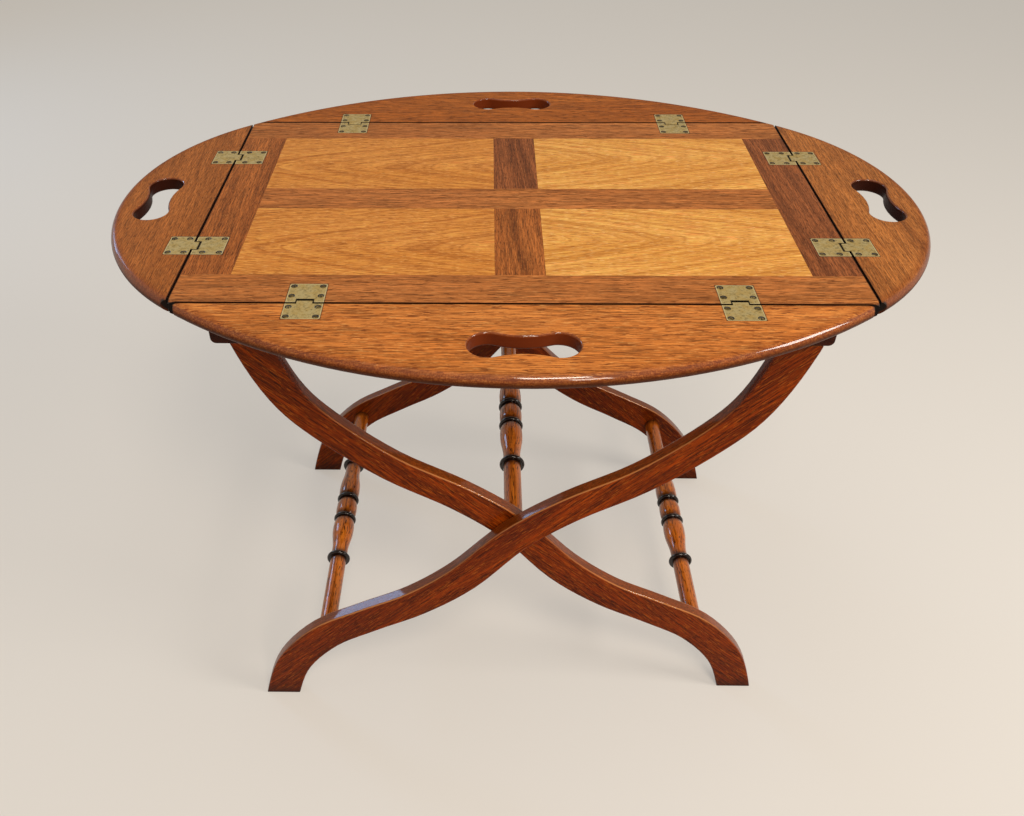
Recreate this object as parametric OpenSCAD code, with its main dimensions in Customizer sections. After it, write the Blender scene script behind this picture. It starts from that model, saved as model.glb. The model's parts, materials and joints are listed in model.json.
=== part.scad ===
// Folding table: an oval tray of a framed board and four hinged leaves, on a crossed stand that folds
// Origin on the floor under the middle of the tray, +X along the tray's length, +Z up, all in millimetres

/* [Table] */
// Height of the tray's top above the floor
table_h = 640; // [600:1:700]
// Thickness of the board and the leaves
tray_t = 16; // [15:0.5:18]
// Open joint between the board and each leaf
leaf_gap = 2.6; // [2:0.1:3.2]

/* [Board] */
// Length of the board between the middles of its end joints
board_l = 702; // [680:1:740]
// Width of the board between the middles of its long joints
board_w = 450; // [440:1:480]
// Width of the outer rails and stiles
member_w = 52; // [48:0.5:58]
// Width of the middle rail
mid_rail_w = 51; // [48:0.5:60]
// Width of the middle stiles
mid_stile_w = 52.5; // [48:0.5:60]
// Length of the tenons on the stiles and the middle rail
tenon_l = 20; // [12:0.5:22]
// Thickness of the tenons
tenon_t = 6; // [4:0.5:7]
// Shoulder left beside each tenon
tenon_shoulder = 9; // [8:0.5:12]
// Thickness of the four panels, flush with the top
panel_t = 13; // [12:0.5:14.5]
// Reach of the tongue round each panel
tongue_l = 5; // [3:0.5:6]
// Thickness of the tongue round each panel
tongue_t = 5.5; // [4:0.5:7]
// Room left past a tongue or tenon for the wood to swell
swell_room = 1; // [0.5:0.1:1.5]

/* [Leaves] */
// Breadth of the front and back leaves at their middle, from the joint
long_leaf_b = 120.5; // [110:0.5:130]
// Breadth of the end leaves at their middle, from the joint
end_leaf_b = 113; // [105:0.5:125]
// Length missing at each tip of the front and back leaves
long_leaf_tip = 7.5; // [7.5:0.5:9]
// Length missing at each tip of the end leaves
end_leaf_tip = 6.5; // [6:0.5:9]

/* [Hand holes] */
// Length of a hand hole
hand_l = 110; // [95:1:125]
// Width of a hand hole at its ends
hand_w = 43; // [38:0.5:46]
// Width of a hand hole at its waist
hand_waist = 31; // [27:0.5:34]
// Rounding of a hand hole's edges
hand_round = 3; // [2:0.5:4]
// Distance of a hand hole's middle from the joint
hand_out = 68.5; // [62:0.5:74]

/* [Hinges] */
// Width of a hinge along the joint
hinge_w = 38; // [34:0.5:42]
// Thickness of the hinge plates
hinge_t = 2.4; // [2:0.1:2.6]
// Length of the plate on the board
board_plate_l = 33.8; // [30:0.2:36]
// Length of the plate on the leaf
leaf_plate_l = 27; // [25:0.2:30]
// Rounding of the corners at the plates' far ends
plate_round = 1.8; // [1:0.1:3]
// Width of the leaf plate's tongue
hinge_tongue_w = 15.6; // [12:0.2:18]
// Diameter of the hinge pin
pin_d = 2; // [1.5:0.1:2.4]
// Radius of the eye at the end of the tongue
eye_r = 2.8; // [2.4:0.1:3]
// Distance of the hinge pin from the middle of the joint
pin_in = 3.2; // [3:0.1:3.6]
// Thickness of the two lugs that hold the pin
lug_t = 4; // [3:0.5:6]
// Running clearance of the pin in the eye, on the radius
pin_clear = 0.05; // [0.02:0.01:0.09]
// Play of the tongue in its notch
tongue_play = 0.25; // [0.15:0.05:0.4]
// Seam between a hinge plate and the wood round it
plate_seam = 0.15; // [0.1:0.05:0.3]
// Distance of each long-side hinge from the middle of that side
long_hinge_at = 213.8; // [180:0.5:230]
// Distance of each end hinge from the middle of that end
end_hinge_at = 112.2; // [100:0.5:130]

/* [Hinge screws] */
// Diameter of the screw heads
screw_head_d = 6.8; // [6:0.1:7]
// Diameter of the screw shanks
screw_d = 3; // [2.5:0.1:3.4]
// Length of the screws
screw_l = 11; // [9:0.5:12]
// Distance of the screws from the plate's side edges
screw_edge = 4.4; // [4:0.1:6]
// Distance of the outer screws from the plate's end
screw_end = 4.2; // [4:0.1:6]
// Distance between the two rows of screws on the board plate
board_rows = 18; // [14:0.5:20]
// Distance between the two rows of screws on the leaf plate
leaf_rows = 17; // [14:0.5:18]
// Width of the screw slots
slot_w = 0.8; // [0.6:0.1:1.2]
// Depth of the screw slots
slot_depth = 0.7; // [0.5:0.1:1]

/* [Stand] */
// Height of the pivot above the floor
pivot_h = 313.5; // [300:0.5:330]
// Reach of a leg's middle line from the pivot to its end under the top rail
leg_top_x = 279; // [265:1:292]
// Reach of a leg's middle line from the pivot to the floor
foot_x = 315; // [290:1:330]
// Thickness of the legs
leg_t = 16; // [14:0.5:20]
// Width of a leg between the pivot and the top rail
leg_w = 37; // [34:0.5:42]
// Width of a leg at the top rail
leg_top_w = 41; // [38:0.5:44]
// Width of a leg round the pivot
leg_pivot_w = 41; // [38:0.5:46]
// Width of a leg from the lower bend to the foot
leg_foot_w = 45; // [40:0.5:48]
// Gap between an outer leg and the inner leg beside it
leg_gap = 1; // [0.8:0.1:2]
// Depth of the stand over its outer legs
stand_depth = 472; // [420:1:500]

/* [Top rails] */
// Width of a top rail
rail_w = 48; // [44:1:56]
// Height of a top rail
rail_h = 26; // [24:0.5:34]
// Overhang of a top rail past the middle line of its legs
rail_out = 32; // [28:0.5:36]
// Rounding of a top rail's lower edges
rail_round = 6; // [3:0.5:9]
// Length of the tenons that hold the legs in the top rails
leg_tenon_l = 17; // [12:0.5:19]
// Width of those tenons
leg_tenon_w = 28; // [22:0.5:30]
// Thickness of those tenons
leg_tenon_t = 9; // [7:0.5:11]

/* [Stretchers] */
// Diameter of a stretcher's plain ends
shaft_d = 22.5; // [21:0.5:25]
// Diameter of a stretcher's middle bulb and vases
swell_d = 30.5; // [27:0.5:33]
// Diameter of the rings
ring_d = 32.5; // [31:0.5:36]
// Width of the rings
ring_w = 5.5; // [4:0.5:7]
// How far the centre stretcher's turning stands forward of its middle
centre_shift = 5; // [0:0.5:8]
// Distance of the inner rings from the middle
inner_ring_at = 20.5; // [18:0.5:26]
// Distance of the outer rings from the middle
outer_ring_at = 97.4; // [85:0.5:110]
// Diameter of the glued spigots of the lower stretchers
spigot_d = 16; // [12:0.5:18]
// Diameter of the spigots that the stand turns on
pivot_d = 18; // [14:0.5:20]
// Depth of the blind holes for the spigots
socket_depth = 11; // [8:0.5:12]
// Running clearance of the pivot, on the radius
pivot_clear = 0.05; // [0.02:0.01:0.09]
// Thickness of the washers between the legs
washer_t = 0.9; // [0.7:0.1:0.9]
// Outer diameter of the washers
washer_d = 30; // [26:0.5:34]
// Room between a washer and the spigot in it, on the radius
washer_play = 0.5; // [0.2:0.1:0.8]

/* [Webbing] */
// Width of the webbing
web_w = 45; // [35:1:50]
// Thickness of the webbing
web_t = 1.6; // [1.2:0.1:2]
// Depth of the rebates that the webbing lies in
web_depth = 3; // [2.9:0.1:4]
// Distance of each web from the middle of the stand
web_at = 110; // [90:1:130]
// Wood left between the end of a web and the rail's outer face
web_edge = 6; // [4:0.5:8]
// Diameter of the tack heads
tack_head_d = 6; // [5:0.5:7]
// Diameter of the tack shanks
tack_d = 1.4; // [1:0.1:1.8]
// Length of the tacks
tack_l = 12; // [9:0.5:14]
// Height of a tack's domed head
tack_crown = 0.6; // [0.4:0.1:0.8]
// Length of a tack's point
tack_point = 2; // [1.5:0.1:3]
// Distance between the tacks across the web
tack_step = 14; // [10:0.5:15]
// Distance of the outer row of tacks from the end of the web
tack_end = 7; // [6:0.5:8]
// Distance between the two rows of tacks
tack_rows = 17; // [14:0.5:19]

/* [Hidden] */
$fn = 96;
cut = 1;
steps = 5;
stand_h = table_h - tray_t;
rail_z = stand_h - rail_h;
half_l = (board_l - leaf_gap) / 2;
half_w = (board_w - leaf_gap) / 2;
panel_x = [mid_stile_w / 2, half_l - member_w];
panel_y = [mid_rail_w / 2, half_w - member_w];
right = 0;
back = 90;
left = 180;
front = 270;
sides = [right, back, left, front];
mahogany = "#6f3a22";
stand_wood = "#6b2c1a";
golden = "#a8713f";
brass = "#a0905c";
canvas = "#b3a27c";

// Leg line from the pivot outwards, as shares of the reach and of the rise or drop, with the leg's width
upper_bends = [
    [0.229, 0.177, leg_w + 1.5],
    [0.511, 0.344, leg_w - 0.5],
    [0.763, 0.555, leg_w - 0.5],
    [0.901, 0.728, leg_w + 1],
    [0.996, 0.972, leg_top_w],
    [1.018, 1.165, leg_top_w]
];
lower_bends = [
    [0.197, 0.228, leg_foot_w - 1],
    [0.387, 0.381, leg_foot_w - 1.5],
    [0.587, 0.490, leg_foot_w - 0.5],
    [0.775, 0.603, leg_foot_w + 1],
    [0.922, 0.777, leg_foot_w],
    [0.997, 0.982, leg_foot_w - 0.5],
    [1.029, 1.160, leg_foot_w + 0.5]
];
upper_line = [for (p = upper_bends) [p[0] * leg_top_x, pivot_h + p[1] * (rail_z - pivot_h), p[2]]];
lower_line = [for (p = lower_bends) [-p[0] * foot_x, pivot_h * (1 - p[1]), p[2]]];
leg_line = [
    for (i = [len(lower_line) - 1 : -1 : 0]) lower_line[i],
    [0, pivot_h, leg_pivot_w],
    for (p = upper_line) p
];
stretcher_at = [lower_line[3][0], lower_line[3][1]];

outer_y = stand_depth / 2 - leg_t;
inner_y = outer_y - leg_gap - leg_t;
rail_x = leg_top_x + rail_out - rail_w;

// Sides of the tray: half the board, the breadth of the leaf there and the circle of the leaf's outer edge
function is_end(side) = side % 180 == 0;
function joint_out(side) = (is_end(side) ? board_l : board_w) / 2;
function joint_half(side) = (is_end(side) ? board_w : board_l) / 2;
function leaf_b(side) = is_end(side) ? end_leaf_b : long_leaf_b;
function leaf_tip(side) = is_end(side) ? end_leaf_tip : long_leaf_tip;
function hinge_at(side) = is_end(side) ? end_hinge_at : long_hinge_at;
function rim_r(side) = (pow(joint_half(side), 2) + pow(leaf_b(side), 2)) / (2 * leaf_b(side));

// Smooth curve through a list of points of any size, leaving out the first and last of them
function blend(a, b, c, d, t) =
    0.5 * (2 * b + (c - a) * t + (2 * a - 5 * b + 4 * c - d) * t * t + (3 * b - a - 3 * c + d) * t * t * t);
function curve(p) = [
    for (i = [1 : len(p) - 3], s = [0 : steps - 1]) blend(p[i - 1], p[i], p[i + 1], p[i + 2], s / steps),
    p[len(p) - 2]
];
function doubled(p) = concat([2 * p[0] - p[1]], p, [2 * p[len(p) - 1] - p[len(p) - 2]]);

// Local frame of a joint: +X out of the board, +Y along the joint, Z 0 at the tray's top
module at_joint(side, along = 0) {
    rotate([0, 0, side]) translate([joint_out(side), along, table_h]) children();
}

// Tray

module round_edged_disc(r) {
    rotate_extrude() {
        square([r - tray_t / 2, tray_t]);
        translate([r - tray_t / 2, tray_t / 2]) circle(d = tray_t);
    }
}

module rim(side) {
    at_joint(side) translate([leaf_b(side) - rim_r(side), 0, -tray_t]) round_edged_disc(rim_r(side));
}

module board_box(x, y) {
    translate([x[0], y[0], stand_h]) cube([x[1] - x[0], y[1] - y[0], tray_t]);
}

module tenon_box(x, y) {
    translate([x[0], y[0], stand_h + (tray_t - tenon_t) / 2]) cube([x[1] - x[0], y[1] - y[0], tenon_t]);
}

module panel_tongue(x, y, grow) {
    translate([x[0] - grow, y[0] - grow, stand_h + (tray_t - tongue_t) / 2])
        cube([x[1] - x[0] + 2 * grow, y[1] - y[0] + 2 * grow, tongue_t]);
}

module grooves() {
    for (mx = [0, 1], my = [0, 1]) mirror([mx, 0, 0]) mirror([0, my, 0])
        panel_tongue(panel_x, panel_y, tongue_l + swell_room);
}

// Tenons of one outer stile, of the middle rail and of one middle stile, longer by more for their mortises
module stile_tenons(more) {
    x = [panel_x[1] + tenon_shoulder, half_l - tenon_shoulder];
    reach = panel_y[1] + tenon_l + more;
    tenon_box(x, [-reach, reach]);
}

module mid_rail_tenons(more) {
    reach = panel_x[1] + tenon_l + more;
    tenon_box([-reach, reach], [-1, 1] * (mid_rail_w / 2 - tenon_shoulder));
}

module mid_stile_tenons(more) {
    tenon_box([-1, 1] * (mid_stile_w / 2 - tenon_shoulder),
        [panel_y[0] - tenon_l - more, panel_y[1] + tenon_l + more]);
}

// The rims meet almost in line at the board's corners, so the front rim also rounds the rail's ends
module long_rail() {
    difference() {
        intersection() {
            board_box([-half_l, half_l], [-half_w, -panel_y[1]]);
            rim(front);
        }
        grooves();
        stile_tenons(swell_room);
        mirror([1, 0, 0]) stile_tenons(swell_room);
        mirror([0, 1, 0]) mid_stile_tenons(swell_room);
        for (s = [-1, 1]) at_joint(front, s * hinge_at(front)) board_hinge_seat();
    }
}

module end_stile() {
    difference() {
        union() {
            board_box([panel_x[1], half_l], [-panel_y[1], panel_y[1]]);
            stile_tenons(0);
        }
        grooves();
        mid_rail_tenons(swell_room);
        for (s = [-1, 1]) at_joint(right, s * hinge_at(right)) board_hinge_seat();
    }
}

module mid_stile() {
    difference() {
        union() {
            board_box([-mid_stile_w / 2, mid_stile_w / 2], panel_y);
            mid_stile_tenons(0);
        }
        grooves();
    }
}

module panel() {
    color(golden) {
        translate([panel_x[0], panel_y[0], table_h - panel_t])
            cube([panel_x[1] - panel_x[0], panel_y[1] - panel_y[0], panel_t]);
        panel_tongue(panel_x, panel_y, tongue_l);
    }
}

module front_rail() {
    color(mahogany) long_rail();
}

module back_rail() {
    color(mahogany) mirror([0, 1, 0]) long_rail();
}

module right_stile() {
    color(mahogany) end_stile();
}

module left_stile() {
    color(mahogany) mirror([1, 0, 0]) end_stile();
}

module mid_rail() {
    color(mahogany) difference() {
        union() {
            board_box([-panel_x[1], panel_x[1]], [-mid_rail_w / 2, mid_rail_w / 2]);
            mid_rail_tenons(0);
        }
        grooves();
        mid_stile_tenons(swell_room);
        mirror([0, 1, 0]) mid_stile_tenons(swell_room);
    }
}

module mid_stile_back() {
    color(mahogany) mid_stile();
}

module mid_stile_front() {
    color(mahogany) mirror([0, 1, 0]) mid_stile();
}

// Hand hole in the frame of a joint, with round ends that flow into two shallow bulges at its waist
lobe_r = hand_w / 2;
lobe_at = (hand_l - hand_w) / 2;
bulge_r = (pow(lobe_at, 2) + pow(hand_waist / 2, 2) - pow(lobe_r, 2)) / (hand_w - hand_waist);
bulge_at = hand_waist / 2 + bulge_r;

// The arcs of the rounding are a little larger than its depth, so they meet the faces at a slight edge
lip_r = hand_round * 1.04;
lip_in = lip_r - sqrt(pow(lip_r, 2) - pow(hand_round, 2));

module rounded_lip(reach) {
    intersection() {
        union() {
            translate([lip_r, 0]) square([reach, tray_t]);
            translate([0, hand_round]) square([reach, tray_t - 2 * hand_round]);
            for (z = [hand_round, tray_t - hand_round]) translate([lip_r, z]) circle(r = lip_r);
        }
        square([2 * reach, tray_t]);
    }
}

module lobe_cut() {
    rotate_extrude() difference() {
        translate([0, -cut]) square([lobe_r, tray_t + 2 * cut]);
        translate([lobe_r - lip_in, 0]) rounded_lip(2 * hand_round);
    }
}

module bulge() {
    rotate_extrude() {
        translate([0, -2 * cut]) square([bulge_r, tray_t + 4 * cut]);
        intersection() {
            translate([bulge_r + lip_in, 0]) mirror([1, 0]) rounded_lip(bulge_r);
            square([2 * bulge_r, tray_t]);
        }
    }
}

module hand_hole() {
    translate([hand_out, 0, -tray_t]) {
        for (s = [-1, 1]) translate([0, s * lobe_at, 0]) lobe_cut();
        difference() {
            translate([0, 0, -cut]) linear_extrude(tray_t + 2 * cut)
                polygon([[0, lobe_at], [bulge_at, 0], [0, -lobe_at], [-bulge_at, 0]]);
            for (s = [-1, 1]) translate([s * bulge_at, 0, 0]) bulge();
        }
    }
}

module leaf(side) {
    inner = leaf_gap / 2;
    half = joint_half(side) - leaf_tip(side);
    color(mahogany) difference() {
        intersection() {
            rim(side);
            at_joint(side) translate([inner, -half, -tray_t]) cube([leaf_b(side), 2 * half, tray_t]);
        }
        at_joint(side) hand_hole();
        for (s = [-1, 1]) at_joint(side, s * hinge_at(side)) leaf_hinge_seat();
    }
}

// Hinges, drawn in the frame of their joint

module screw_places(rows_at) {
    for (x = rows_at, s = [-1, 1]) translate([x, s * (hinge_w / 2 - screw_edge), 0]) children();
}

board_end = -leaf_gap / 2 - board_plate_l;
leaf_end = leaf_gap / 2 + leaf_plate_l;
board_screws_at = [board_end + screw_end, board_end + screw_end + board_rows];
leaf_screws_at = [leaf_end - screw_end, leaf_end - screw_end - leaf_rows];

module screw_shape() {
    head_r = screw_head_d / 2;
    r = screw_d / 2;
    rotate_extrude() polygon([[0, 0], [head_r, 0], [r, r - head_r], [r, r - screw_l], [0, -screw_l]]);
}

module screw() {
    difference() {
        screw_shape();
        rotate([0, 0, 35]) translate([-screw_head_d, -slot_w / 2, -slot_depth])
            cube([2 * screw_head_d, slot_w, slot_depth + cut]);
    }
}

module on_pin_axis() {
    translate([-pin_in, 0, -eye_r]) rotate([90, 0, 0]) children();
}

notch_w = hinge_tongue_w + 2 * tongue_play;
knuckle_w = notch_w + 2 * lug_t;

// A flat plate from the joint's edge at near to its far end, whose two corners are rounded
module plate_slab(near, far, width, corner, depth, rise = 0) {
    turn = far - sign(far - near) * corner;
    translate([0, 0, -depth]) linear_extrude(depth + rise) {
        translate([min(near, turn), -width / 2]) square([abs(turn - near), width]);
        translate([min(near, far), corner - width / 2]) square([abs(far - near), width - 2 * corner]);
        for (s = [-1, 1]) translate([turn, s * (width / 2 - corner)]) circle(r = corner);
    }
}

module board_plate_shape() {
    difference() {
        union() {
            plate_slab(-leaf_gap / 2, board_end, hinge_w, plate_round, hinge_t);
            translate([-pin_in - eye_r, -knuckle_w / 2, -2 * eye_r])
                cube([pin_in + eye_r - leaf_gap / 2, knuckle_w, 2 * eye_r]);
        }
        translate([-pin_in - eye_r - tongue_play, -notch_w / 2, -2 * eye_r - cut])
            cube([pin_in + eye_r, notch_w, 2 * eye_r + 2 * cut]);
        on_pin_axis() cylinder(d = pin_d, h = 2 * hinge_w, center = true);
        screw_places(board_screws_at) screw_shape();
    }
}

module leaf_plate_shape() {
    difference() {
        union() {
            plate_slab(leaf_gap / 2, leaf_end, hinge_w, plate_round, hinge_t);
            translate([-pin_in, -hinge_tongue_w / 2, -hinge_t])
                cube([pin_in + leaf_gap / 2, hinge_tongue_w, hinge_t]);
            on_pin_axis() cylinder(r = eye_r, h = hinge_tongue_w, center = true);
        }
        on_pin_axis() cylinder(r = pin_d / 2 + pin_clear, h = 2 * hinge_w, center = true);
        screw_places(leaf_screws_at) screw_shape();
    }
}

// Pocket in the wood for a plate, open at the joint, with a seam left all round the plate
module plate_pocket(plate_end) {
    far = plate_end + sign(plate_end) * plate_seam;
    plate_slab(0, far, hinge_w + 2 * plate_seam, plate_round + plate_seam, hinge_t, cut);
}

module board_hinge_seat() {
    plate_pocket(board_end);
    from = -pin_in - eye_r - tongue_play - plate_seam;
    pocket_w = knuckle_w + 2 * plate_seam;
    pocket_t = 2 * eye_r + plate_seam;
    translate([from, -pocket_w / 2, -pocket_t]) cube([-from, pocket_w, pocket_t + cut]);
    screw_places(board_screws_at) screw_shape();
}

module leaf_hinge_seat() {
    plate_pocket(leaf_end);
    screw_places(leaf_screws_at) screw_shape();
}

module board_plate(side, end) {
    color(brass) at_joint(side, end * hinge_at(side)) board_plate_shape();
}

module leaf_plate(side, end) {
    color(brass) at_joint(side, end * hinge_at(side)) leaf_plate_shape();
}

module hinge_pin(side, end) {
    color(brass) at_joint(side, end * hinge_at(side)) on_pin_axis() cylinder(d = pin_d, h = knuckle_w, center = true);
}

module leaf_screws(side) {
    color(brass) for (s = [-1, 1]) at_joint(side, s * hinge_at(side)) screw_places(leaf_screws_at) screw();
}

module board_hinge_screws() {
    color(brass) for (side = sides, s = [-1, 1])
        at_joint(side, s * hinge_at(side)) screw_places(board_screws_at) screw();
}

// Stand

// Outline of a leg in the plane of the stand: both edges stand half the leg's width off its middle line
function edge_of(line, way) = [
    for (i = [1 : len(line) - 2])
        let (d = line[i + 1] - line[i - 1], n = norm([d[0], d[1]]))
        [line[i][0] - way * d[1] / n * line[i][2] / 2, line[i][1] + way * d[0] / n * line[i][2] / 2]
];

module leg_outline() {
    line = curve(doubled(leg_line));
    inner = edge_of(line, 1);
    outer = edge_of(line, -1);
    polygon(concat(inner, [for (i = [len(outer) - 1 : -1 : 0]) outer[i]]));
}

// A slab of the given thickness drawn in the plane of the stand, from y towards +Y
module upright(y, thickness) {
    translate([0, y + thickness, 0]) rotate([90, 0, 0]) linear_extrude(thickness) children();
}

module leg_tenon(more) {
    translate([leg_top_x - leg_tenon_w / 2, (leg_t - leg_tenon_t) / 2, rail_z - cut])
        cube([leg_tenon_w, leg_tenon_t, leg_tenon_l + cut + more]);
}

// Leg from the top right to the lower left, with its front face at y 0
module leg() {
    upright(0, leg_t) intersection() {
        leg_outline();
        translate([-2 * foot_x, 0]) square([4 * foot_x, rail_z]);
    }
    leg_tenon(0);
}

module hole_along_y(at, r, y, length) {
    translate([at[0], y, at[1]]) rotate([-90, 0, 0]) cylinder(r = r, h = length);
}

pivot_at = [0, pivot_h];

module outer_leg() {
    difference() {
        leg();
        hole_along_y(pivot_at, pivot_d / 2 + pivot_clear, leg_t - socket_depth - swell_room, leg_t);
        hole_along_y(stretcher_at, spigot_d / 2, leg_t - socket_depth - swell_room, leg_t);
    }
}

module inner_leg() {
    difference() {
        leg();
        hole_along_y(pivot_at, pivot_d / 2, -cut, leg_t + 2 * cut);
        hole_along_y(stretcher_at, spigot_d / 2, leg_t - socket_depth - swell_room, leg_t);
    }
}

module outer_leg_front() {
    color(stand_wood) translate([0, -outer_y - leg_t, 0]) outer_leg();
}

module outer_leg_back() {
    color(stand_wood) mirror([0, 1, 0]) translate([0, -outer_y - leg_t, 0]) outer_leg();
}

module inner_leg_front() {
    color(stand_wood) mirror([1, 0, 0]) translate([0, -inner_y - leg_t, 0]) inner_leg();
}

module inner_leg_back() {
    color(stand_wood) mirror([1, 0, 0]) mirror([0, 1, 0]) translate([0, -inner_y - leg_t, 0]) inner_leg();
}

// Turned stretcher along Y: half of its outline by radius and distance from the middle
ring_r = ring_d / 2;
swell_r = swell_d / 2;
shaft_r = shaft_d / 2;
belly = swell_r - shaft_r;
vase_l = outer_ring_at - inner_ring_at;
neck = ring_w / 2 + 1;

// The bulb between the inner rings and the vase beside it, by share of the belly and place along the turning
bulb = [[0.82, -inner_ring_at / 2], [1, 0], [0.82, inner_ring_at / 2], [0.12, inner_ring_at - neck], [0, inner_ring_at]];
vase_bends = [[0, 0], [0.4, 0.05], [0.82, 0.11], [1, 0.25], [0.85, 0.42], [0.45, 0.56], [0.1, 0.7], [0, 0.82], [0, 1]];
vase = [for (p = vase_bends) [p[0], inner_ring_at + p[1] * vase_l]];

module half_turning(half) {
    outline = [for (p = concat(curve(bulb), curve(vase))) [shaft_r + p[0] * belly, p[1]]];
    polygon(concat([[0, 0]], outline, [[shaft_r, half], [0, half]]));
    for (at = [inner_ring_at, outer_ring_at]) {
        translate([0, at - ring_w / 2]) square([ring_r - ring_w / 2, ring_w]);
        translate([ring_r - ring_w / 2, at]) circle(d = ring_w);
    }
}

module stretcher(half, peg_d, peg_l, shift = 0) {
    rotate([-90, 0, 0]) rotate_extrude() {
        translate([0, -shift]) {
            half_turning(half + shift);
            mirror([0, 1]) half_turning(half - shift);
        }
        translate([0, -half - peg_l]) square([peg_d / 2, 2 * (half + peg_l)]);
    }
}

module outer_stretcher() {
    color(stand_wood) translate([stretcher_at[0], 0, stretcher_at[1]])
        stretcher(outer_y, spigot_d, socket_depth);
}

module inner_stretcher() {
    color(stand_wood) translate([-stretcher_at[0], 0, stretcher_at[1]])
        stretcher(inner_y, spigot_d, socket_depth);
}

module centre_stretcher() {
    color(stand_wood) translate([0, 0, pivot_h])
        stretcher(inner_y, pivot_d, leg_t + leg_gap + socket_depth, centre_shift);
}

// Right top rail of the outer legs, drawn whole; mortised at the y where its legs stand
module top_rail(leg_y) {
    difference() {
        upright(-stand_depth / 2, stand_depth) union() {
            translate([rail_x, rail_z + rail_round]) square([rail_w, rail_h - rail_round]);
            translate([rail_x + rail_round, rail_z]) square([rail_w - 2 * rail_round, rail_h]);
            for (x = [rail_round, rail_w - rail_round])
                translate([rail_x + x, rail_z + rail_round]) circle(r = rail_round);
        }
        for (m = [0, 1]) mirror([0, m, 0]) {
            translate([0, -leg_y - leg_t, 0]) leg_tenon(swell_room);
            translate([rail_x - cut, web_at - web_w / 2 - swell_room, stand_h - web_depth])
                cube([rail_w - web_edge + swell_room + cut, web_w + 2 * swell_room, web_depth + cut]);
            web_tack_places() tack();
        }
    }
}

module outer_top_rail() {
    color(stand_wood) top_rail(outer_y);
}

module inner_top_rail() {
    color(stand_wood) mirror([1, 0, 0]) top_rail(inner_y);
}

module pivot_washers() {
    color(brass) for (m = [0, 1]) mirror([0, m, 0]) difference() {
        hole_along_y(pivot_at, washer_d / 2, outer_y - washer_t, washer_t);
        hole_along_y(pivot_at, pivot_d / 2 + washer_play, outer_y - washer_t - cut, washer_t + 2 * cut);
    }
}

// Webbing that keeps the stand from opening too far, tacked in rebates in the top rails
web_top = stand_h - web_depth + web_t;

module web_tack_places() {
    row_x = rail_x + rail_w - web_edge - tack_end;
    for (s = [-1, 0, 1]) translate([row_x, web_at + s * tack_step, web_top]) children();
    for (s = [-0.5, 0.5]) translate([row_x - tack_rows, web_at + s * tack_step, web_top]) children();
}

module tack() {
    head_r = tack_head_d / 2;
    r = tack_d / 2;
    rotate_extrude() polygon([
        [0, tack_crown], [head_r / 2, 0.9 * tack_crown], [head_r, 0], [r, 0], [r, tack_point - tack_l], [0, -tack_l]
    ]);
}

module web() {
    half = rail_x + rail_w - web_edge;
    color(canvas) difference() {
        translate([-half, web_at - web_w / 2, stand_h - web_depth]) cube([2 * half, web_w, web_t]);
        web_tack_places() tack();
        mirror([1, 0, 0]) web_tack_places() tack();
    }
}

module web_back() {
    web();
}

module web_front() {
    mirror([0, 1, 0]) web();
}

module outer_web_tacks() {
    color(brass) for (m = [0, 1]) mirror([0, m, 0]) web_tack_places() tack();
}

module inner_web_tacks() {
    mirror([1, 0, 0]) outer_web_tacks();
}

front_rail();
back_rail();
left_stile();
right_stile();
mid_rail();
mid_stile_front();
mid_stile_back();
mirror([1, 0, 0]) mirror([0, 1, 0]) panel();  // panel_front_left
mirror([0, 1, 0]) panel();  // panel_front_right
mirror([1, 0, 0]) panel();  // panel_back_left
panel();  // panel_back_right
leaf(front);  // front_leaf
leaf(back);  // back_leaf
leaf(left);  // left_leaf
leaf(right);  // right_leaf
board_plate(front, -1);  // board_plate_front_left
board_plate(front, 1);  // board_plate_front_right
board_plate(back, 1);  // board_plate_back_left
board_plate(back, -1);  // board_plate_back_right
board_plate(left, 1);  // board_plate_left_front
board_plate(left, -1);  // board_plate_left_back
board_plate(right, -1);  // board_plate_right_front
board_plate(right, 1);  // board_plate_right_back
leaf_plate(front, -1);  // leaf_plate_front_left
leaf_plate(front, 1);  // leaf_plate_front_right
leaf_plate(back, 1);  // leaf_plate_back_left
leaf_plate(back, -1);  // leaf_plate_back_right
leaf_plate(left, 1);  // leaf_plate_left_front
leaf_plate(left, -1);  // leaf_plate_left_back
leaf_plate(right, -1);  // leaf_plate_right_front
leaf_plate(right, 1);  // leaf_plate_right_back
hinge_pin(front, -1);  // hinge_pin_front_left
hinge_pin(front, 1);  // hinge_pin_front_right
hinge_pin(back, 1);  // hinge_pin_back_left
hinge_pin(back, -1);  // hinge_pin_back_right
hinge_pin(left, 1);  // hinge_pin_left_front
hinge_pin(left, -1);  // hinge_pin_left_back
hinge_pin(right, -1);  // hinge_pin_right_front
hinge_pin(right, 1);  // hinge_pin_right_back
board_hinge_screws();
leaf_screws(front);  // front_leaf_screws
leaf_screws(back);  // back_leaf_screws
leaf_screws(left);  // left_leaf_screws
leaf_screws(right);  // right_leaf_screws
outer_leg_front();
outer_leg_back();
inner_leg_front();
inner_leg_back();
outer_stretcher();
inner_stretcher();
centre_stretcher();
outer_top_rail();
inner_top_rail();
pivot_washers();
web_front();
web_back();
outer_web_tacks();
inner_web_tacks();
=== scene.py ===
# %% [markdown]
# # A butler's tray table in polished mahogany
#
# The table is an oval tray lying loose on a folding stand. The tray is a framed board of seven mahogany
# members round four flat-cut panels, with four leaves on let-in brass hinges. The stand is two crossed frames
# of S-shaped legs, joined by turned stretchers.
#
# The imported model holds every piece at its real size, so this script adds the looks: soft arrises, grain and
# polish, brass and its screws, woven webbing, and the light that shows them.

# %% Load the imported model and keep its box
import json
import math

import bmesh
import bpy
from mathutils import Matrix, Vector

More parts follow.
